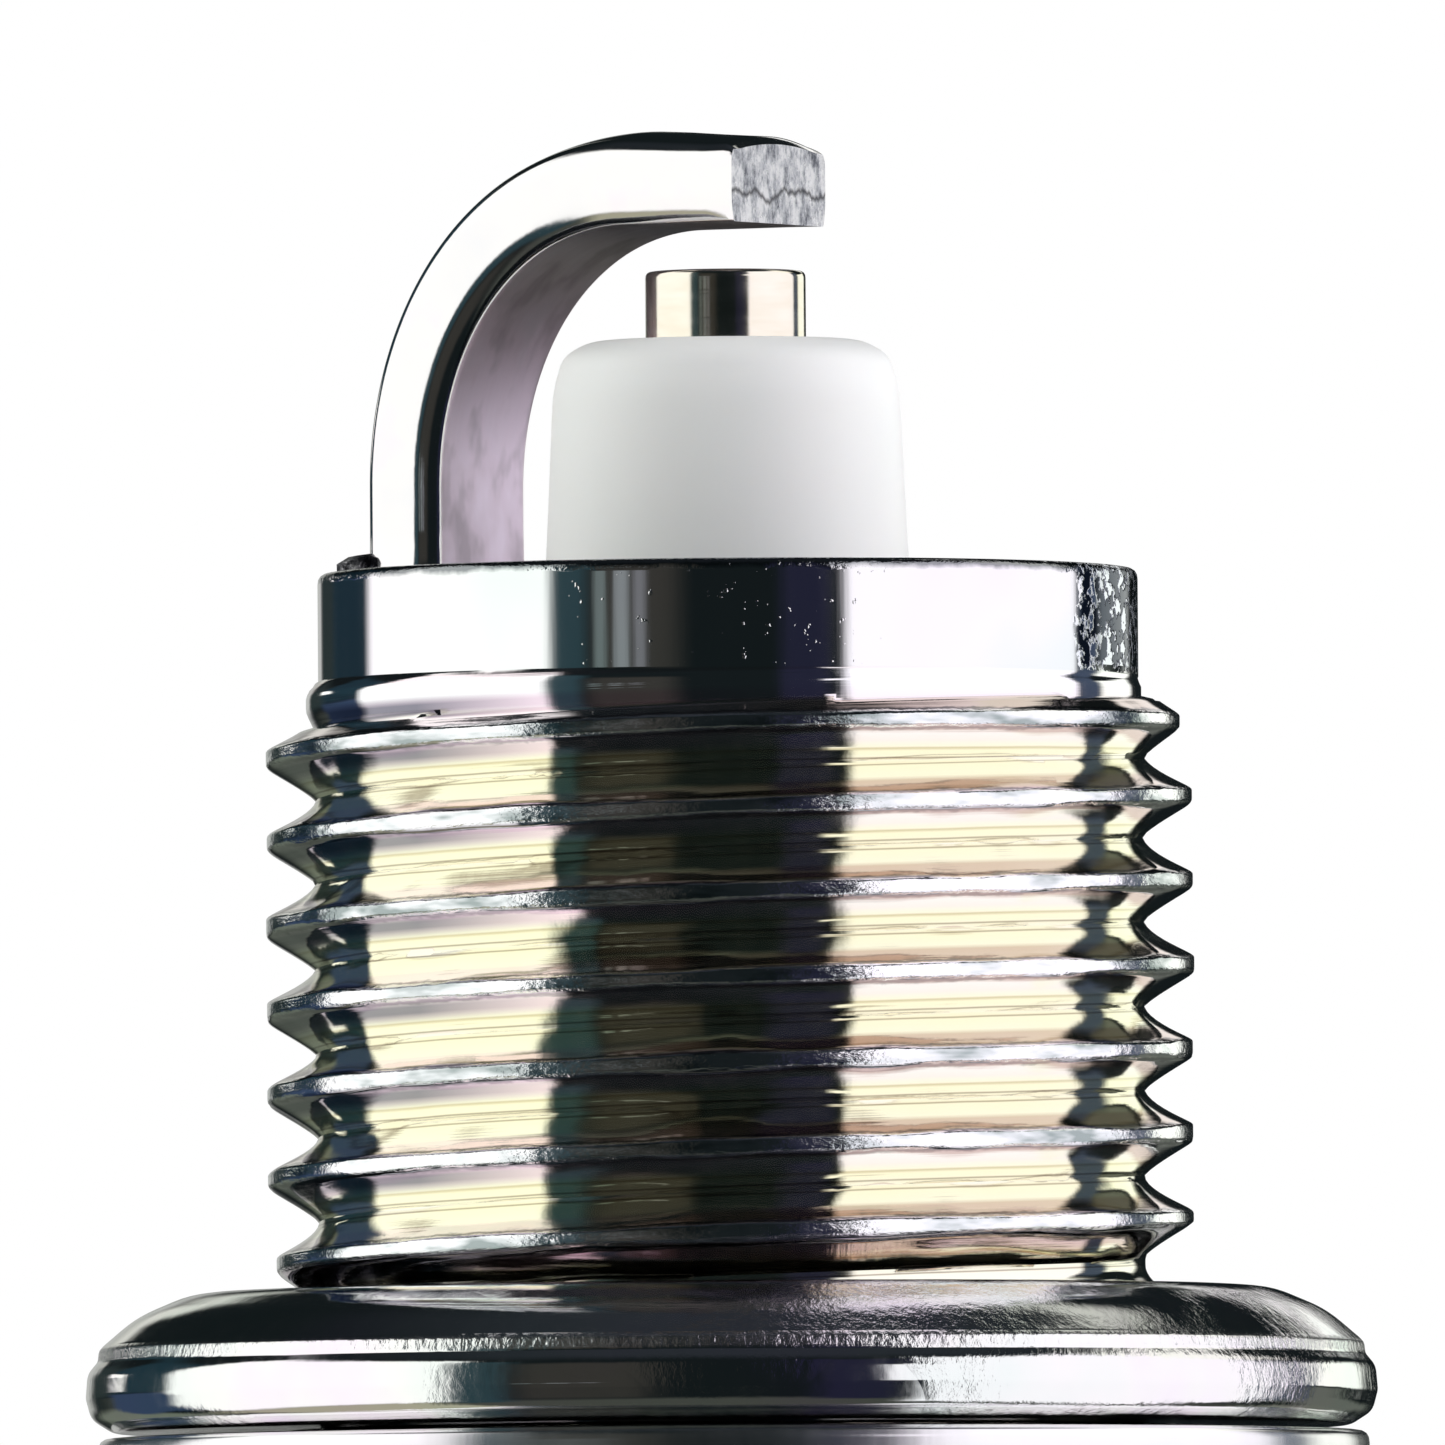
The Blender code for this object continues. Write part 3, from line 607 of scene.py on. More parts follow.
def make_weld_flash(metal):
    """The rough lumps that the resistance weld squeezed out round the bar's foot."""
    mesh = bmesh.new()
    ring_steps = 12
    around = 132
    rings = []
    for i in range(around):
        angle = math.tau * i / around
        out = Vector((math.cos(angle), math.sin(angle), 0.0))
        reach = 1.0 / max(abs(out.x) / (0.66 * MM), abs(out.y) / (1.33 * MM))
        middle = Vector((-STRAP_FOOT, 0.0, REACH + 0.01 * MM)) + out * reach
        lump = noise.noise(Vector((out.x * 2.7, out.y * 2.7, 3.1))) + 0.5 * noise.noise(out * 9.0)
        away = 1.9 if out.x < -0.2 else 0.7
        size = max(0.05, 0.14 + 0.16 * lump) * MM * away
        ring = []
        for k in range(ring_steps):
            a = math.tau * k / ring_steps
            rough = 1.0 + 0.4 * noise.noise(Vector((i * 0.31, k * 0.7, 1.7)))
            lift = Vector((0.0, 0.0, size * math.sin(a) * rough))
            ring.append(mesh.verts.new(middle + out * (size * 1.4 * math.cos(a) * rough) + lift))
        rings.append(ring)
    for i, one in enumerate(rings):
        two = rings[(i + 1) % len(rings)]
        for k in range(ring_steps):
            j = (k + 1) % ring_steps
            mesh.faces.new((one[k], one[j], two[j], two[k]))
    flash = new_piece("weld_flash", mesh, metal)
    flash.rotation_euler = (0.0, 0.0, STRAP_YAW)
    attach(flash, "plug")


def make_terminal_nut(nickel):
    mesh = bmesh.new()
    top, bottom = -45.3 * MM, -53.0 * MM
    outline = [
        (2.05 * MM, -51.6 * MM, 0.0),
        (2.05 * MM, top, 0.25 * MM),
        (3.5 * MM, top, 0.2 * MM),
        (3.5 * MM, top - 1.8 * MM, 0.25 * MM),
        (2.65 * MM, top - 2.1 * MM, 0.3 * MM),
        (2.65 * MM, top - 3.6 * MM, 0.3 * MM),
        (3.175 * MM, top - 4.0 * MM, 0.25 * MM),
        (3.175 * MM, bottom, 0.75 * MM),
        (0.0, bottom, 0.0),
    ]
    points = rounded(outline, 6)
    points.insert(-1, (1.2 * MM, bottom))
    points.insert(0, (0.0, -51.8 * MM))
    spin(mesh, points, 128)
    nut = new_piece("terminal_nut_body", mesh, nickel, 50)
    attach(nut, "nut")
    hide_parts("terminal_nut")


STUD_PITCH = 0.7 * MM
STUD_CORE = 1.58 * MM
STUD_MAJOR = 1.97 * MM
STUD_END = -51.4 * MM
STUD_COLLAR_BOTTOM = -45.2 * MM


def stud_thread_radius(angle, z):
    """The M4 thread for the nut."""
    part = angle / math.tau
    along = (z - STUD_END) / STUD_PITCH - part
    nearest = math.floor(along + 0.5)
    offset = (along - nearest) * STUD_PITCH
    strength = ramp(z, STUD_END, STUD_END + 0.5 * MM)
    strength *= 1.0 - ramp(z, STUD_COLLAR_BOTTOM - 0.7 * MM, STUD_COLLAR_BOTTOM - 0.2 * MM)
    height = ridge(abs(offset), 0.32 * MM, 0.02 * MM, 0.03 * MM, 1.1)
    return STUD_CORE + (STUD_MAJOR - STUD_CORE) * strength * height


def make_terminal_stud(steel):
    mesh = bmesh.new()
    around = 96
    offsets = [0.0, 0.05, 0.12, 0.2, 0.3, 0.4, 0.5, 0.6, 0.7, 0.8, 0.88, 0.95]
    low = STUD_END + 0.3 * MM
    thread_skin(mesh, STUD_PITCH, STUD_END, low, STUD_COLLAR_BOTTOM, offsets, around, stud_thread_radius)
    collar = [
        (STUD_CORE, STUD_COLLAR_BOTTOM, 0.0),
        (2.9 * MM, STUD_COLLAR_BOTTOM, 0.12 * MM),
        (2.9 * MM, -44.6 * MM, 0.12 * MM),
        (1.85 * MM, -44.6 * MM, 0.1 * MM),
        (1.85 * MM, -40.0 * MM, 0.0),
        (0.0, -40.0 * MM, 0.0),
    ]
    spin(mesh, rounded(collar), around)
    chamfer = 1.25 * MM
    spin(mesh, [(0.0, STUD_END), (chamfer, STUD_END)], around)

    def follow(angle, r, z):
        return (stud_thread_radius(angle, low), low) if z >= low else (r, z)

    spin(mesh, [(chamfer, STUD_END), (2.0 * MM, low)], around, follow)
    weld(mesh)
    stud = new_piece("terminal_stud_body", mesh, steel, 50)
    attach(stud, "plug")
    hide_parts("terminal_stud")


# Materials


class Tree:
    """Short names for building a node tree, a material's or the studio's."""

    def add(self, kind, **settings):
        node = self.tree.nodes.new("ShaderNode" + kind)
        for key, value in settings.items():
            setattr(node, key, value)
        return node

    def fill(self, socket, value):
        """Give a socket a number or a colour, or link another node to it."""
        if isinstance(value, (int, float)):
            socket.default_value = value
        elif isinstance(value, tuple):
            socket.default_value = (*value, 1.0)
        else:
            self.tree.links.new(value, socket)

    def math(self, operation, *values):
        node = self.add("Math", operation=operation)
        for socket, value in zip(node.inputs, values):
            self.fill(socket, value)
        return node.outputs[0]

    def mix(self, factor, a, b, blend="MIX"):
        node = self.add("Mix", data_type="RGBA", blend_type=blend)
        for socket, value in ((node.inputs[0], factor), (node.inputs[6], a), (node.inputs[7], b)):
            self.fill(socket, value)
        return node.outputs[2]


class Nodes(Tree):
    """A metal's, ceramic's or paint's material, round one Principled BSDF."""

    def __init__(self, name):
        self.material = bpy.data.materials.new(name)
        self.material.use_nodes = True
        self.tree = self.material.node_tree
        self.shader = self.tree.nodes["Principled BSDF"]
        self.place = self.add("TexCoord").outputs["Object"]

    def link(self, source, target):
        self.tree.links.new(source, target)

    def set(self, **values):
        for key, value in values.items():
            self.shader.inputs[key.replace("_", " ")].default_value = value

    def split(self):
        node = self.add("SeparateXYZ")
        self.link(self.place, node.inputs[0])
        return node.outputs

    def noise(self, scale, stretch=(1.0, 1.0, 1.0), detail=4.0, roughness=0.55, place=None):
        mapping = self.add("Mapping")
        mapping.inputs["Scale"].default_value = stretch
        self.link(place or self.place, mapping.inputs["Vector"])
        node = self.add("TexNoise")
        node.inputs["Scale"].default_value = scale
        node.inputs["Detail"].default_value = detail
        node.inputs["Roughness"].default_value = roughness
        self.link(mapping.outputs[0], node.inputs["Vector"])
        return node.outputs["Fac"]

    def ramp(self, value, stops):
        node = self.add("ValToRGB")
        elements = node.color_ramp.elements
        for position, colour in stops[1:-1]:
            elements.new(position).color = (*colour, 1.0)
        elements[0].position, elements[0].color = stops[0][0], (*stops[0][1], 1.0)
        elements[-1].position, elements[-1].color = stops[-1][0], (*stops[-1][1], 1.0)
        self.link(value, node.inputs[0])
        return node.outputs[0]

    def range(self, value, low, high, to_low=0.0, to_high=1.0):
        node = self.add("MapRange", clamp=True)
        for socket, number in zip(node.inputs[1:5], (low, high, to_low, to_high)):
            socket.default_value = number
        self.link(value, node.inputs[0])
        return node.outputs[0]

    def bump(self, height, strength, distance, before=None):
        node = self.add("Bump")
        node.inputs["Strength"].default_value = strength
        node.inputs["Distance"].default_value = distance
        self.link(height, node.inputs["Height"])
        if before:
            self.link(before, node.inputs["Normal"])
        return node.outputs[0]

    def stored(self, name):
        return self.add("Attribute", attribute_name=name).outputs["Fac"]

    def band(self, value, low, high, soft):
        """1 where a value lies between two limits, with soft edges."""
        rise = self.range(value, low - soft, low + soft)
        fall = self.range(value, high + soft, high - soft)
        return self.math("MULTIPLY", rise, fall)

    def pilot(self):
        """1 on the pilot's wall and 0 below it."""
        return self.range(self.split()[2], PILOT_BOTTOM, PILOT_BOTTOM + 0.1 * MM)

    def painted_shade_patch(self):
        """A patch of painted shade on the +X side of the pilot."""
        edge = self.math("MULTIPLY", self.math("SUBTRACT", self.noise(1500.0, detail=3.0), 0.5), 0.5 * MM)
        side = self.range(self.math("ADD", self.split()[0], edge), 5.12 * MM, 5.22 * MM)
        return self.math("MULTIPLY", side, self.pilot())

    def finish(self, colour=None, roughness=None, normal=None):
        for source, name in ((colour, "Base Color"), (roughness, "Roughness"), (normal, "Normal")):
            if source is not None:
                self.link(source, self.shader.inputs[name])
        return self.material


def plating_material():
    """Bright plated steel with the passivation's thin film: straw in the thread roots, rose on the flanks,
    with painted shade and painted reflection tints on the thread.
    """
    n = Nodes("shell_bright_plating")
    n.set(Metallic=1.0)
    # Millimetres above the crest's middle, then film colours from root (0) over crest (0.5) to root (1); the
    # thin dark stops at 0.05, 0.16 and 0.946 are painted shade lines
    turned = n.math("ARCTAN2", n.stored("crest_sine"), n.stored("crest_cosine"))
    crest = n.math("MULTIPLY", turned, THREAD_PITCH / MM / math.tau)
    x, _, z = n.split()
    threaded = n.band(z, SEAT_Z + 1.3 * MM, PILOT_BOTTOM - 0.03 * MM, 0.03 * MM)
    drift = n.math("MULTIPLY", n.math("SUBTRACT", n.noise(420.0, detail=2.0), 0.5), 0.03)
    film = n.ramp(
        n.range(n.math("ADD", crest, drift), -0.625, 0.625),
        [
            (0.0, (0.95, 0.93, 0.76)),
            (0.034, (0.95, 0.93, 0.76)),
            (0.05, (0.40, 0.35, 0.27)),
            (0.066, (0.97, 0.96, 0.80)),
            (0.13, (0.97, 0.96, 0.76)),
            (0.16, (0.66, 0.60, 0.42)),
            (0.18, (0.96, 0.95, 0.82)),
            (0.25, (0.94, 0.89, 0.90)),
            (0.33, (0.95, 0.92, 0.95)),
            (0.42, (0.99, 0.99, 1.0)),
            (0.58, (0.99, 0.99, 1.0)),
            (0.62, (0.95, 0.84, 0.88)),
            (0.73, (0.93, 0.83, 0.83)),
            (0.765, (0.97, 0.97, 0.86)),
            (0.93, (0.97, 0.96, 0.80)),
            (0.946, (0.42, 0.37, 0.28)),
            (0.962, (0.95, 0.93, 0.76)),
            (1.0, (0.95, 0.93, 0.76)),
        ],
    )
    # Painted light on the flanks: a brown painted shade on the upper flanks towards +X, a rose painted
    # reflection tint on the lower flanks towards -X, and a dark painted shade below the crests far towards -X
    painted_brown_shade = n.math("MULTIPLY", n.band(crest, 0.13, 0.34, 0.03), n.range(x, -2.0 * MM, 1.0 * MM))
    film = n.mix(n.math("MULTIPLY", painted_brown_shade, 0.75), film, (0.60, 0.46, 0.37))
    rose = n.math("MULTIPLY", n.band(crest, -0.34, -0.15, 0.05), n.range(x, 1.0 * MM, -1.0 * MM))
    film = n.mix(n.math("MULTIPLY", rose, 0.8), film, (0.93, 0.74, 0.85))
    painted_shade_below_crest = n.math("MULTIPLY", n.band(crest, -0.36, -0.14, 0.07), n.range(x, -2.4 * MM, -4.6 * MM))
    film = n.mix(n.math("MULTIPLY", painted_shade_below_crest, 0.85), film, (0.13, 0.15, 0.19))
    cloud = n.noise(260.0, detail=2.0)
    plain = n.ramp(cloud, [(0.3, (0.82, 0.88, 0.86)), (0.5, (0.91, 0.91, 0.91)), (0.7, (0.91, 0.86, 0.93))])
    colour = n.mix(threaded, plain, film)
    # The crest's ragged land, with painted shade lines along the fold's seam below it and just above it
    pits = n.noise(6500.0, (0.4, 0.4, 1.0), 4.0, 0.65)
    edge = n.math("MULTIPLY", n.math("SUBTRACT", pits, 0.5), 0.12)
    ragged = n.math("ADD", crest, edge)
    full = n.math("MULTIPLY", threaded, n.range(n.stored("crest_strength"), 0.15, 0.5))
    land = n.math("MULTIPLY", full, n.band(ragged, -0.10, 0.11, 0.02))
    seam = n.math("MULTIPLY", full, n.band(ragged, -0.17, -0.12, 0.015))
    lip = n.math("MULTIPLY", full, n.band(ragged, 0.125, 0.16, 0.012))
    shade = n.math("MAXIMUM", n.math("MULTIPLY", seam, 0.45), n.math("MULTIPLY", lip, 0.7))
    colour = n.mix(shade, colour, (0.05, 0.055, 0.07))
    wear = n.noise(1900.0, (0.3, 0.3, 1.3), 3.0, 0.6)
    worn = n.ramp(wear, [(0.36, (0.36, 0.42, 0.41)), (0.47, (0.80, 0.84, 0.84)), (0.55, (1.0, 1.0, 1.0))])
    colour = n.mix(land, colour, worn, "MULTIPLY")
    # Roughness and relief: upright streaks, rolling lines along the helix, a duller collar
    streak = n.noise(2600.0, (1.0, 1.0, 0.06), 3.0)
    helix = n.add("CombineXYZ")
    n.link(n.stored("crest_cosine"), helix.inputs[0])
    n.link(n.stored("crest_sine"), helix.inputs[1])
    n.link(n.math("MULTIPLY", z, 1.2 / MM), helix.inputs[2])
    rolled = n.noise(1.5, detail=3.0, place=helix.outputs[0])
    collar = n.range(z, SEAT_Z + 0.05 * MM, SEAT_Z - 0.1 * MM)
    rough = n.math("ADD", n.range(streak, 0.3, 0.7, 0.04, 0.09), n.math("MULTIPLY", land, 0.05))
    rough = n.math("ADD", rough, n.math("MULTIPLY", collar, 0.14))
    bump = n.bump(streak, 0.07, 0.00002)
    bump = n.bump(n.math("MULTIPLY", rolled, threaded), 0.14, 0.00004, bump)
    bump = n.bump(n.math("MULTIPLY", land, pits), 0.34, 0.00005, bump)
    # The pilot: a pitted rim darkened with painted shade, a patch of painted shade on one side and small
    # specks in the middle
    ragged_rim = n.math("ADD", z, n.math("MULTIPLY", n.math("SUBTRACT", n.noise(2500.0), 0.5), 0.16 * MM))
    rim = n.range(ragged_rim, REACH - 0.16 * MM, REACH - 0.09 * MM)
    colour = n.mix(n.math("MULTIPLY", rim, 0.75), colour, (0.10, 0.12, 0.13))
    bump = n.bump(n.math("MULTIPLY", rim, pits), 0.5, 0.00005, bump)
    # painted shade: a dark patch with light specks on the +X side of the pilot
    painted_shade_patch = n.painted_shade_patch()
    spots = n.range(n.noise(4200.0, detail=3.0, roughness=0.6), 0.50, 0.56)
    colour = n.mix(painted_shade_patch, colour, n.ramp(spots, [(0.0, (0.035, 0.05, 0.075)), (1.0, (0.80, 0.84, 0.90))]))
    bump = n.bump(n.math("MULTIPLY", spots, painted_shade_patch), 0.5, 0.00005, bump)
    middle = n.math("MULTIPLY", n.pilot(), n.range(n.math("ABSOLUTE", x), 2.4 * MM, 1.8 * MM))
    specks = n.range(n.noise(7500.0, detail=2.0), 0.69, 0.75)
    bump = n.bump(n.math("MULTIPLY", specks, middle), 0.3, 0.00004, bump)
    return n.finish(colour, rough, bump)


def gasket_material():
    """Plated sheet: bright on the bead, pitted along the crease where the fold stretched it."""
    n = Nodes("gasket_plated_sheet")
    n.set(Metallic=1.0)
    _, _, z = n.split()
    cloud = n.noise(400.0, detail=2.0)
    colour = n.ramp(cloud, [(0.3, (0.80, 0.87, 0.83)), (0.5, (0.88, 0.88, 0.86)), (0.7, (0.88, 0.81, 0.89))])
    crease = n.band(z, 1.04 * MM, 1.24 * MM, 0.03 * MM)
    pits = n.noise(7000.0, (1.0, 1.0, 0.7), 3.0)
    fine = n.noise(6000.0, (1.0, 1.0, 0.3), 3.0)
    wave = n.noise(900.0, (1.0, 1.0, 1.4), 3.0)
    patches = n.range(n.noise(330.0, detail=2.0), 0.50, 0.62)
    scuffs = n.math("MULTIPLY", n.noise(5200.0, (1.0, 1.0, 0.6), 4.0, 0.65), patches)
    rough = n.math("ADD", n.range(fine, 0.3, 0.7, 0.05, 0.11), n.math("MULTIPLY", crease, 0.14))
    bump = n.bump(n.math("ADD", wave, n.math("MULTIPLY", fine, 0.1)), 0.06, 0.0001)
    bump = n.bump(n.math("MULTIPLY", crease, pits), 0.5, 0.00006, bump)
    bump = n.bump(scuffs, 0.4, 0.00005, bump)
    return n.finish(colour, rough, bump)


def bar_place(n):
    """Where a point lies in the bar, as (along, across, through) in millimetres."""
    place = n.add("CombineXYZ")
    for name, socket in zip(("along", "across", "through"), place.inputs):
        n.link(n.stored(name), socket)
    return place.outputs[0]


def strap_material():
    """Drawn and bent nickel alloy: bright, with draw lines along the bar and rub marks."""
    n = Nodes("strap_drawn_nickel")
    n.set(Metallic=1.0)
    place = bar_place(n)
    cloud = n.noise(0.7, detail=3.0, place=place)
    metal = [(0.3, (0.84, 0.84, 0.85)), (0.55, (0.88, 0.87, 0.86)), (0.75, (0.90, 0.83, 0.87))]
    colour = n.ramp(cloud, metal)
    lines = n.noise(1.2, (0.15, 5.0, 5.0), 3.0, 0.6, place)
    marks = n.noise(1.3, (0.8, 1.4, 1.4), 4.0, 0.6, place)
    rough = n.range(marks, 0.3, 0.75, 0.06, 0.13)
    bump = n.bump(n.math("ADD", n.math("MULTIPLY", lines, 0.25), marks), 0.08, 0.00004)
    return n.finish(colour, rough, bump)


def rubbed_material():
    """The bar's inner face: dulled and slightly rosy, with cloudy rub marks and painted shade that darkens it
    from the foot towards the bend and tip.
    """
    n = Nodes("strap_rubbed_face")
    n.set(Metallic=0.9)
    place = bar_place(n)
    marks = n.noise(0.9, (0.8, 1.3, 1.3), 3.0, 0.5, place)
    fine = n.noise(3.0, (0.3, 3.0, 3.0), 4.0, 0.6, place)
    rubbed = [(0.36, (0.62, 0.56, 0.61)), (0.48, (0.88, 0.79, 0.87)), (0.62, (0.96, 0.88, 0.97))]
    colour = n.ramp(marks, rubbed)
    # painted shade: the inner face darkens along the bar from the foot towards the bend and tip
    painted_shade_along_bar = n.ramp(
        n.range(n.math("ADD", n.stored("along"), n.math("MULTIPLY", marks, 3.0)), 1.5, 9.0),
        [
            (0.25, (1.0, 0.96, 1.0)),
            (0.5, (0.66, 0.60, 0.62)),
            (0.75, (0.5, 0.48, 0.48)),
            (1.0, (0.4, 0.4, 0.4)),
        ],
    )
    colour = n.mix(1.0, colour, painted_shade_along_bar, "MULTIPLY")
    bump = n.bump(n.math("ADD", n.math("MULTIPLY", fine, 0.3), marks), 0.06, 0.00004)
    return n.finish(colour, n.range(fine, 0.3, 0.7, 0.36, 0.48), bump)


def sheared_material():
    """The bar's cut end: torn grey metal with upright tears and a ragged crack low down."""
    n = Nodes("strap_sheared_end")
    n.set(Metallic=1.0)
    place = bar_place(n)
    tears = n.noise(3.8, (1.0, 1.0, 0.5), 7.0, 0.78, place)
    grain = n.noise(11.0, detail=4.0, place=place)
    torn = [(0.36, (0.13, 0.14, 0.17)), (0.46, (0.56, 0.58, 0.62)), (0.56, (0.98, 0.99, 1.0))]
    colour = n.ramp(tears, torn)
    wander = n.math("MULTIPLY", n.math("SUBTRACT", n.noise(2.2, (1.0, 1.0, 0.0), 3.0, 0.6, place), 0.5), 0.55)
    level = n.math("ADD", n.stored("through"), wander)
    crack = n.band(level, -0.30, -0.23, 0.03)
    colour = n.mix(n.math("MULTIPLY", crack, 0.85), colour, (0.05, 0.05, 0.06))
    bump = n.bump(n.math("ADD", tears, n.math("MULTIPLY", grain, 0.3)), 0.8, 0.0001)
    return n.finish(colour, n.range(grain, 0.3, 0.7, 0.25, 0.42), bump)


def flash_material():
    n = Nodes("weld_flash_metal")
    n.set(Metallic=1.0)
    spots = n.noise(5000.0, detail=4.0)
    colour = n.ramp(spots, [(0.35, (0.03, 0.03, 0.035)), (0.52, (0.16, 0.16, 0.17)), (0.68, (0.7, 0.7, 0.7))])
    bump = n.bump(spots, 0.8, 0.0001)
    return n.finish(colour, n.range(spots, 0.3, 0.7, 0.2, 0.45), bump)


def electrode_material():
    n = Nodes("electrode_nickel")
    n.set(Metallic=1.0)
    ring = n.noise(4200.0, (0.2, 0.2, 1.0), 3.0)
    colour = n.ramp(ring, [(0.3, (0.86, 0.80, 0.66)), (0.7, (0.93, 0.89, 0.78))])
    return n.finish(colour, n.range(ring, 0.3, 0.7, 0.08, 0.15), n.bump(ring, 0.15, 0.00002))


def ceramic_material():
    """Matte bisque at the nose, clear glaze over the terminal end."""
    n = Nodes("alumina_ceramic")
    _, _, z = n.split()
    grain = n.noise(5200.0, detail=4.0)
    cloud = n.noise(240.0, detail=2.0)
    colour = n.ramp(cloud, [(0.3, (0.86, 0.89, 0.855)), (0.7, (0.89, 0.895, 0.865))])
    glazed = n.range(z, -12.0 * MM, -13.0 * MM)
    rough = n.math("ADD", n.range(grain, 0.3, 0.7, 0.50, 0.60), n.math("MULTIPLY", glazed, -0.42))
    n.set(Specular_IOR_Level=0.5)
    n.shader.inputs["Subsurface Weight"].default_value = 0.15
    n.shader.inputs["Subsurface Radius"].default_value = (0.0010, 0.0009, 0.0008)
    n.shader.inputs["Subsurface Scale"].default_value = 1.0
    height = n.math("MULTIPLY", grain, n.range(glazed, 0.0, 1.0, 1.0, 0.1))
    return n.finish(colour, rough, n.bump(height, 0.12, 0.00002))


def terminal_material(name, light):
    n = Nodes(name)
    n.set(Metallic=1.0)
    turning = n.noise(3800.0, (0.15, 0.15, 1.0), 3.0)
    colour = n.ramp(turning, [(0.3, tuple(0.9 * c for c in light)), (0.7, light)])
    return n.finish(colour, n.range(turning, 0.3, 0.7, 0.10, 0.22), n.bump(turning, 0.25, 0.00002))


def hidden_material(name, dark, light, metallic, roughness):
    n = Nodes(name)
    n.set(Metallic=metallic)
    grain = n.noise(2600.0, detail=5.0)
    colour = n.ramp(grain, [(0.3, dark), (0.7, light)])
    rough = n.range(grain, 0.3, 0.7, roughness, roughness + 0.15)
    return n.finish(colour, rough, n.bump(grain, 0.3, 0.00004))


def dress_cad_nodes():
    """Materials for the pieces that stay as the frame made them, all inside the shell or insulator."""
    steel = hidden_material("packing_steel", (0.38, 0.38, 0.39), (0.62, 0.62, 0.61), 1.0, 0.35)
    glass = hidden_material("conductive_glass", (0.09, 0.08, 0.07), (0.24, 0.19, 0.15), 0.0, 0.35)
    copper = hidden_material("copper", (0.66, 0.30, 0.18), (0.86, 0.48, 0.33), 1.0, 0.25)
    looks = {
        "centre_electrode_copper_core": copper,
        "insulator_seat_washer": steel,
        "lower_packing_ring": steel,
        "upper_packing_ring": steel,
        "talc_seal": hidden_material("pressed_talc", (0.70, 0.69, 0.64), (0.84, 0.83, 0.79), 0.0, 0.8),
        "lower_glass_seal": glass,
        "upper_glass_seal": glass,
        "resistor": hidden_material("resistor_mix", (0.03, 0.03, 0.03), (0.10, 0.10, 0.10), 0.0, 0.7),
    }
    for name, look in looks.items():
        data = NODES[name].data
        data.materials.clear()
        data.materials.append(look)


# Studio


# Soft boxes: azimuth about the plug's axis (0 at -Y, positive towards +X) and elevation in degrees, the soft
# edge of each, then the colour. A later box covers an earlier one.
SOFT_BOXES = [
    ((-180.0, -163.0), (-3.0, 9.0), 4.0, 3.0, (0.45, 0.46, 0.44)),
    ((-175.0, -168.0), (9.0, 20.0), 2.0, 3.0, (0.60, 0.61, 0.56)),
    ((-163.0, -146.0), (-4.0, 16.0), 4.0, 4.0, (0.02, 0.03, 0.03)),
    ((-172.0, -140.0), (-36.0, -8.0), 5.0, 4.0, (0.13, 0.15, 0.12)),
    ((-148.0, -122.0), (-24.0, -1.0), 3.0, 3.0, (0.03, 0.05, 0.095)),
    ((-148.0, -122.0), (1.0, 30.0), 3.0, 3.0, (0.012, 0.03, 0.042)),
    ((-150.0, -141.0), (3.8, 7.8), 2.0, 0.8, (1.0, 1.0, 0.96)),
    ((-135.0, -55.0), (-66.0, -37.0), 6.0, 5.0, (0.36, 0.35, 0.26)),
    ((-122.0, -50.0), (-37.0, 46.0), 3.0, 4.0, (1.0, 1.0, 0.99)),
    ((-51.0, -40.0), (-44.0, 40.0), 3.0, 4.0, (0.022, 0.045, 0.055)),
    ((-38.0, -14.0), (-32.0, 30.0), 5.0, 8.0, (0.032, 0.031, 0.028)),
    ((-38.0, -34.5), (0.5, 3.4), 1.0, 1.2, (0.13, 0.16, 0.16)),
    ((-32.0, -28.0), (0.5, 3.4), 1.0, 1.2, (0.20, 0.22, 0.23)),
    ((-26.5, -23.0), (0.5, 3.4), 1.0, 1.2, (0.16, 0.165, 0.18)),
    ((15.0, 29.0), (-42.0, 44.0), 3.0, 4.0, (0.013, 0.014, 0.030)),
    ((33.0, 116.0), (-56.0, 50.0), 2.5, 5.0, (0.97, 0.94, 1.0)),
    ((27.0, 36.0), (6.5, 16.0), 2.0, 2.5, (0.97, 0.94, 1.0)),
    ((98.0, 128.0), (27.0, 52.0), 5.0, 5.0, (0.95, 0.94, 0.90)),
    ((138.0, 158.0), (48.0, 56.0), 3.0, 3.0, (0.55, 0.56, 0.52)),
    ((117.0, 128.0), (-22.0, 20.0), 2.0, 4.0, (0.045, 0.062, 0.10)),
    ((128.0, 168.0), (-24.0, -8.0), 4.0, 2.0, (0.11, 0.12, 0.105)),
    ((129.0, 154.0), (-4.5, 13.0), 3.0, 1.5, (0.98, 1.0, 0.94)),
    ((161.0, 174.0), (14.0, 22.0), 2.0, 2.0, (0.95, 0.95, 0.93)),
    ((140.0, 172.0), (-44.0, -24.0), 5.0, 4.0, (0.16, 0.17, 0.14)),
]
GLOSSY_STRENGTH = 1.15
DIFFUSE_STRENGTH = 2.9


class WorldNodes(Tree):
    """The studio's node tree."""

    def __init__(self, tree):
        self.tree = tree
        tree.nodes.clear()

    def step(self, value, low, high):
        node = self.add("MapRange", interpolation_type="SMOOTHSTEP")
        for socket, number in zip(node.inputs[1:5], (low, high, 0.0, 1.0)):
            socket.default_value = number
        self.tree.links.new(value, node.inputs[0])
        return node.outputs[0]

    def between(self, value, low, high, soft):
        rise = self.step(value, low - soft, low + soft)
        fall = self.step(value, high + soft, high - soft)
        return self.math("MULTIPLY", rise, fall)

    def grey(self, value):
        node = self.add("CombineXYZ")
        for socket in node.inputs:
            self.fill(socket, value)
        return node.outputs[0]

    def background(self, colour, strength):
        node = self.add("Background")
        self.fill(node.inputs["Color"], colour)
        node.inputs["Strength"].default_value = strength
        return node.outputs[0]

    def choose(self, factor, a, b):
        node = self.add("MixShader")
        for socket, value in zip(node.inputs, (factor, a, b)):
            self.tree.links.new(value, socket)
        return node.outputs[0]


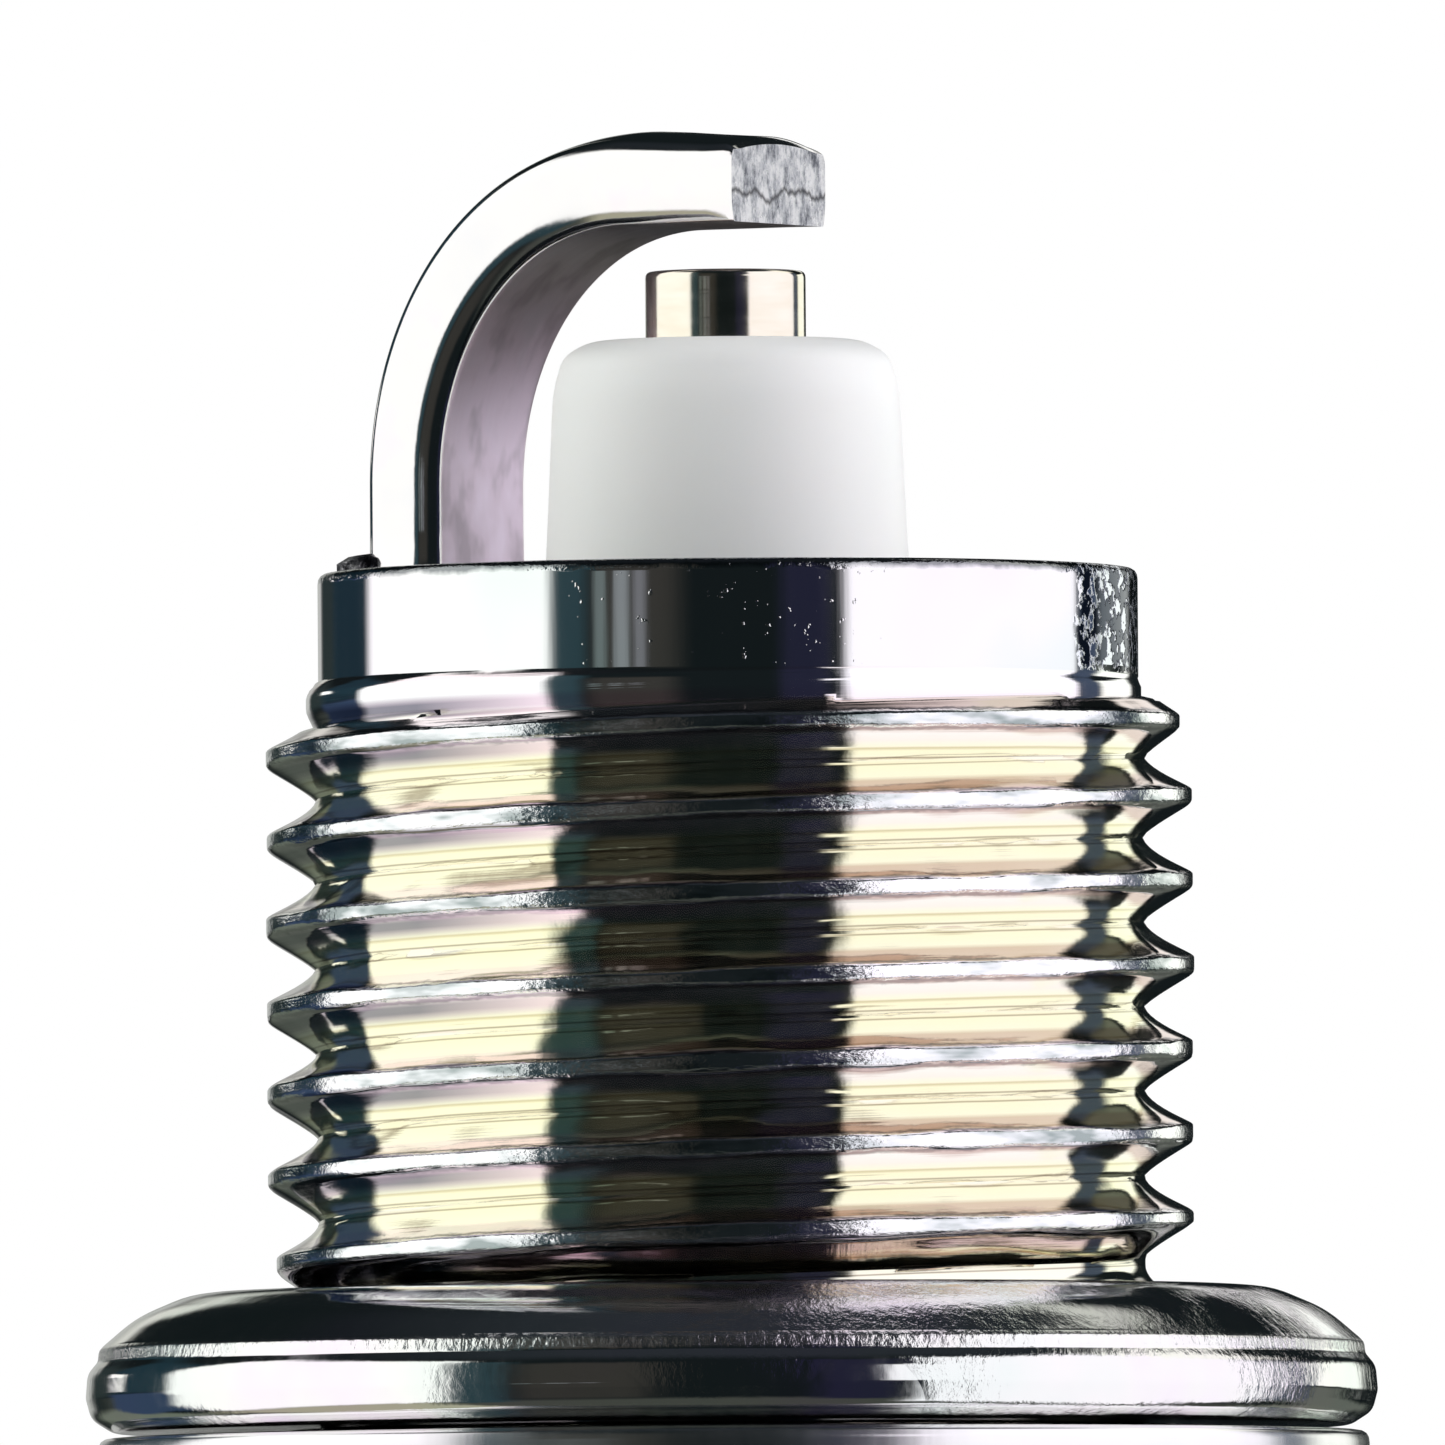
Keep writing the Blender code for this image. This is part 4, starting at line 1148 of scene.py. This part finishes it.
def make_world():
    """A dark studio with soft boxes round the plug. The camera sees a plain white backdrop instead."""
    world = bpy.data.worlds.new("studio")
    bpy.context.scene.world = world
    world.use_nodes = True
    w = WorldNodes(world.node_tree)
    parts = w.add("SeparateXYZ")
    w.fill(parts.inputs[0], w.add("TexCoord").outputs["Generated"])
    x, y, z = parts.outputs
    azimuth = w.math("MULTIPLY", w.math("ARCTAN2", x, w.math("MULTIPLY", y, -1.0)), math.degrees(1.0))
    elevation = w.math("MULTIPLY", w.math("ARCSINE", z), math.degrees(1.0))
    # On the camera's side a box narrows only half as fast with height as its azimuths alone would make it
    level = w.math("SQRT", w.math("SUBTRACT", 1.0, w.math("MULTIPLY", z, z)))
    ahead = w.math("MULTIPLY", w.step(w.math("ABSOLUTE", azimuth), 96.0, 62.0), 0.5)
    azimuth = w.math("MULTIPLY", azimuth, w.mix(ahead, (1.0, 1.0, 1.0), w.grey(level)))
    colour = w.mix(w.step(elevation, -44.0, -30.0), (0.05, 0.055, 0.048), (0.006, 0.009, 0.010))
    colour = w.mix(w.step(elevation, 40.0, 80.0), colour, (0.020, 0.024, 0.030))
    for around, up, soft, soft_up, light in SOFT_BOXES:
        inside = w.math("MULTIPLY", w.between(azimuth, *around, soft), w.between(elevation, *up, soft_up))
        colour = w.mix(inside, colour, light)
    seen = w.add("LightPath").outputs
    studio = w.choose(
        seen["Is Glossy Ray"],
        w.background(colour, DIFFUSE_STRENGTH),
        w.background(colour, GLOSSY_STRENGTH),
    )
    backdrop = w.background((1.0, 1.0, 1.0), 1.0)
    out = w.add("OutputWorld")
    w.fill(out.inputs["Surface"], w.choose(seen["Is Camera Ray"], studio, backdrop))


def make_floor():
    """A pale floor, low enough for the terminal nut to come off its stud above it."""
    mesh = bmesh.new()
    bmesh.ops.create_grid(mesh, x_segments=1, y_segments=1, size=FLOOR_HALF)
    floor = new_piece("studio_floor", mesh, floor_material())
    floor.location.z = CAD_LOW.z - NUT_TRAVEL - FLOOR_GAP
    floor.visible_glossy = False


def floor_material():
    n = Nodes("studio_floor_paint")
    soft = n.noise(40.0, detail=2.0)
    colour = n.ramp(soft, [(0.3, (0.86, 0.86, 0.86)), (0.7, (0.88, 0.88, 0.88))])
    n.set(Roughness=0.8)
    return n.finish(colour)


# Camera: nearly level, far away, looking slightly up at the firing end
CAMERA_DISTANCE = 0.69
CAMERA_Z = -11.45 * MM
TARGET = Vector((-0.09 * MM, 0.0, 10.46 * MM))
CAMERA_ROLL = math.radians(0.42)
FRAME_WIDTH = 21.42 * MM
SENSOR = 36.0


def make_camera():
    data = bpy.data.cameras.new("camera")
    camera = bpy.data.objects.new("camera", data)
    bpy.context.scene.collection.objects.link(camera)
    camera.location = (TARGET.x, -CAMERA_DISTANCE, CAMERA_Z)
    aim = TARGET - camera.location
    roll = Quaternion((0.0, 0.0, 1.0), -CAMERA_ROLL)
    camera.rotation_mode = "QUATERNION"
    camera.rotation_quaternion = aim.to_track_quat("-Z", "Y") @ roll
    data.sensor_width = SENSOR
    data.lens = SENSOR * aim.length / FRAME_WIDTH
    data.clip_start = 0.05
    data.clip_end = 20.0
    bpy.context.scene.camera = camera


def set_film():
    view = bpy.context.scene.view_settings
    view.view_transform = "Standard"
    view.look = "None"


make_shell(plating_material())
make_gasket(gasket_material())
make_insulator(ceramic_material())
make_centre_electrode(electrode_material())
make_ground_electrode(strap_material(), sheared_material(), rubbed_material())
make_weld_flash(flash_material())
make_terminal_nut(terminal_material("terminal_nut_nickel", (0.90, 0.89, 0.86)))
make_terminal_stud(terminal_material("terminal_stud_steel", (0.80, 0.79, 0.76)))
dress_cad_nodes()
make_world()
make_floor()
make_camera()
set_film()
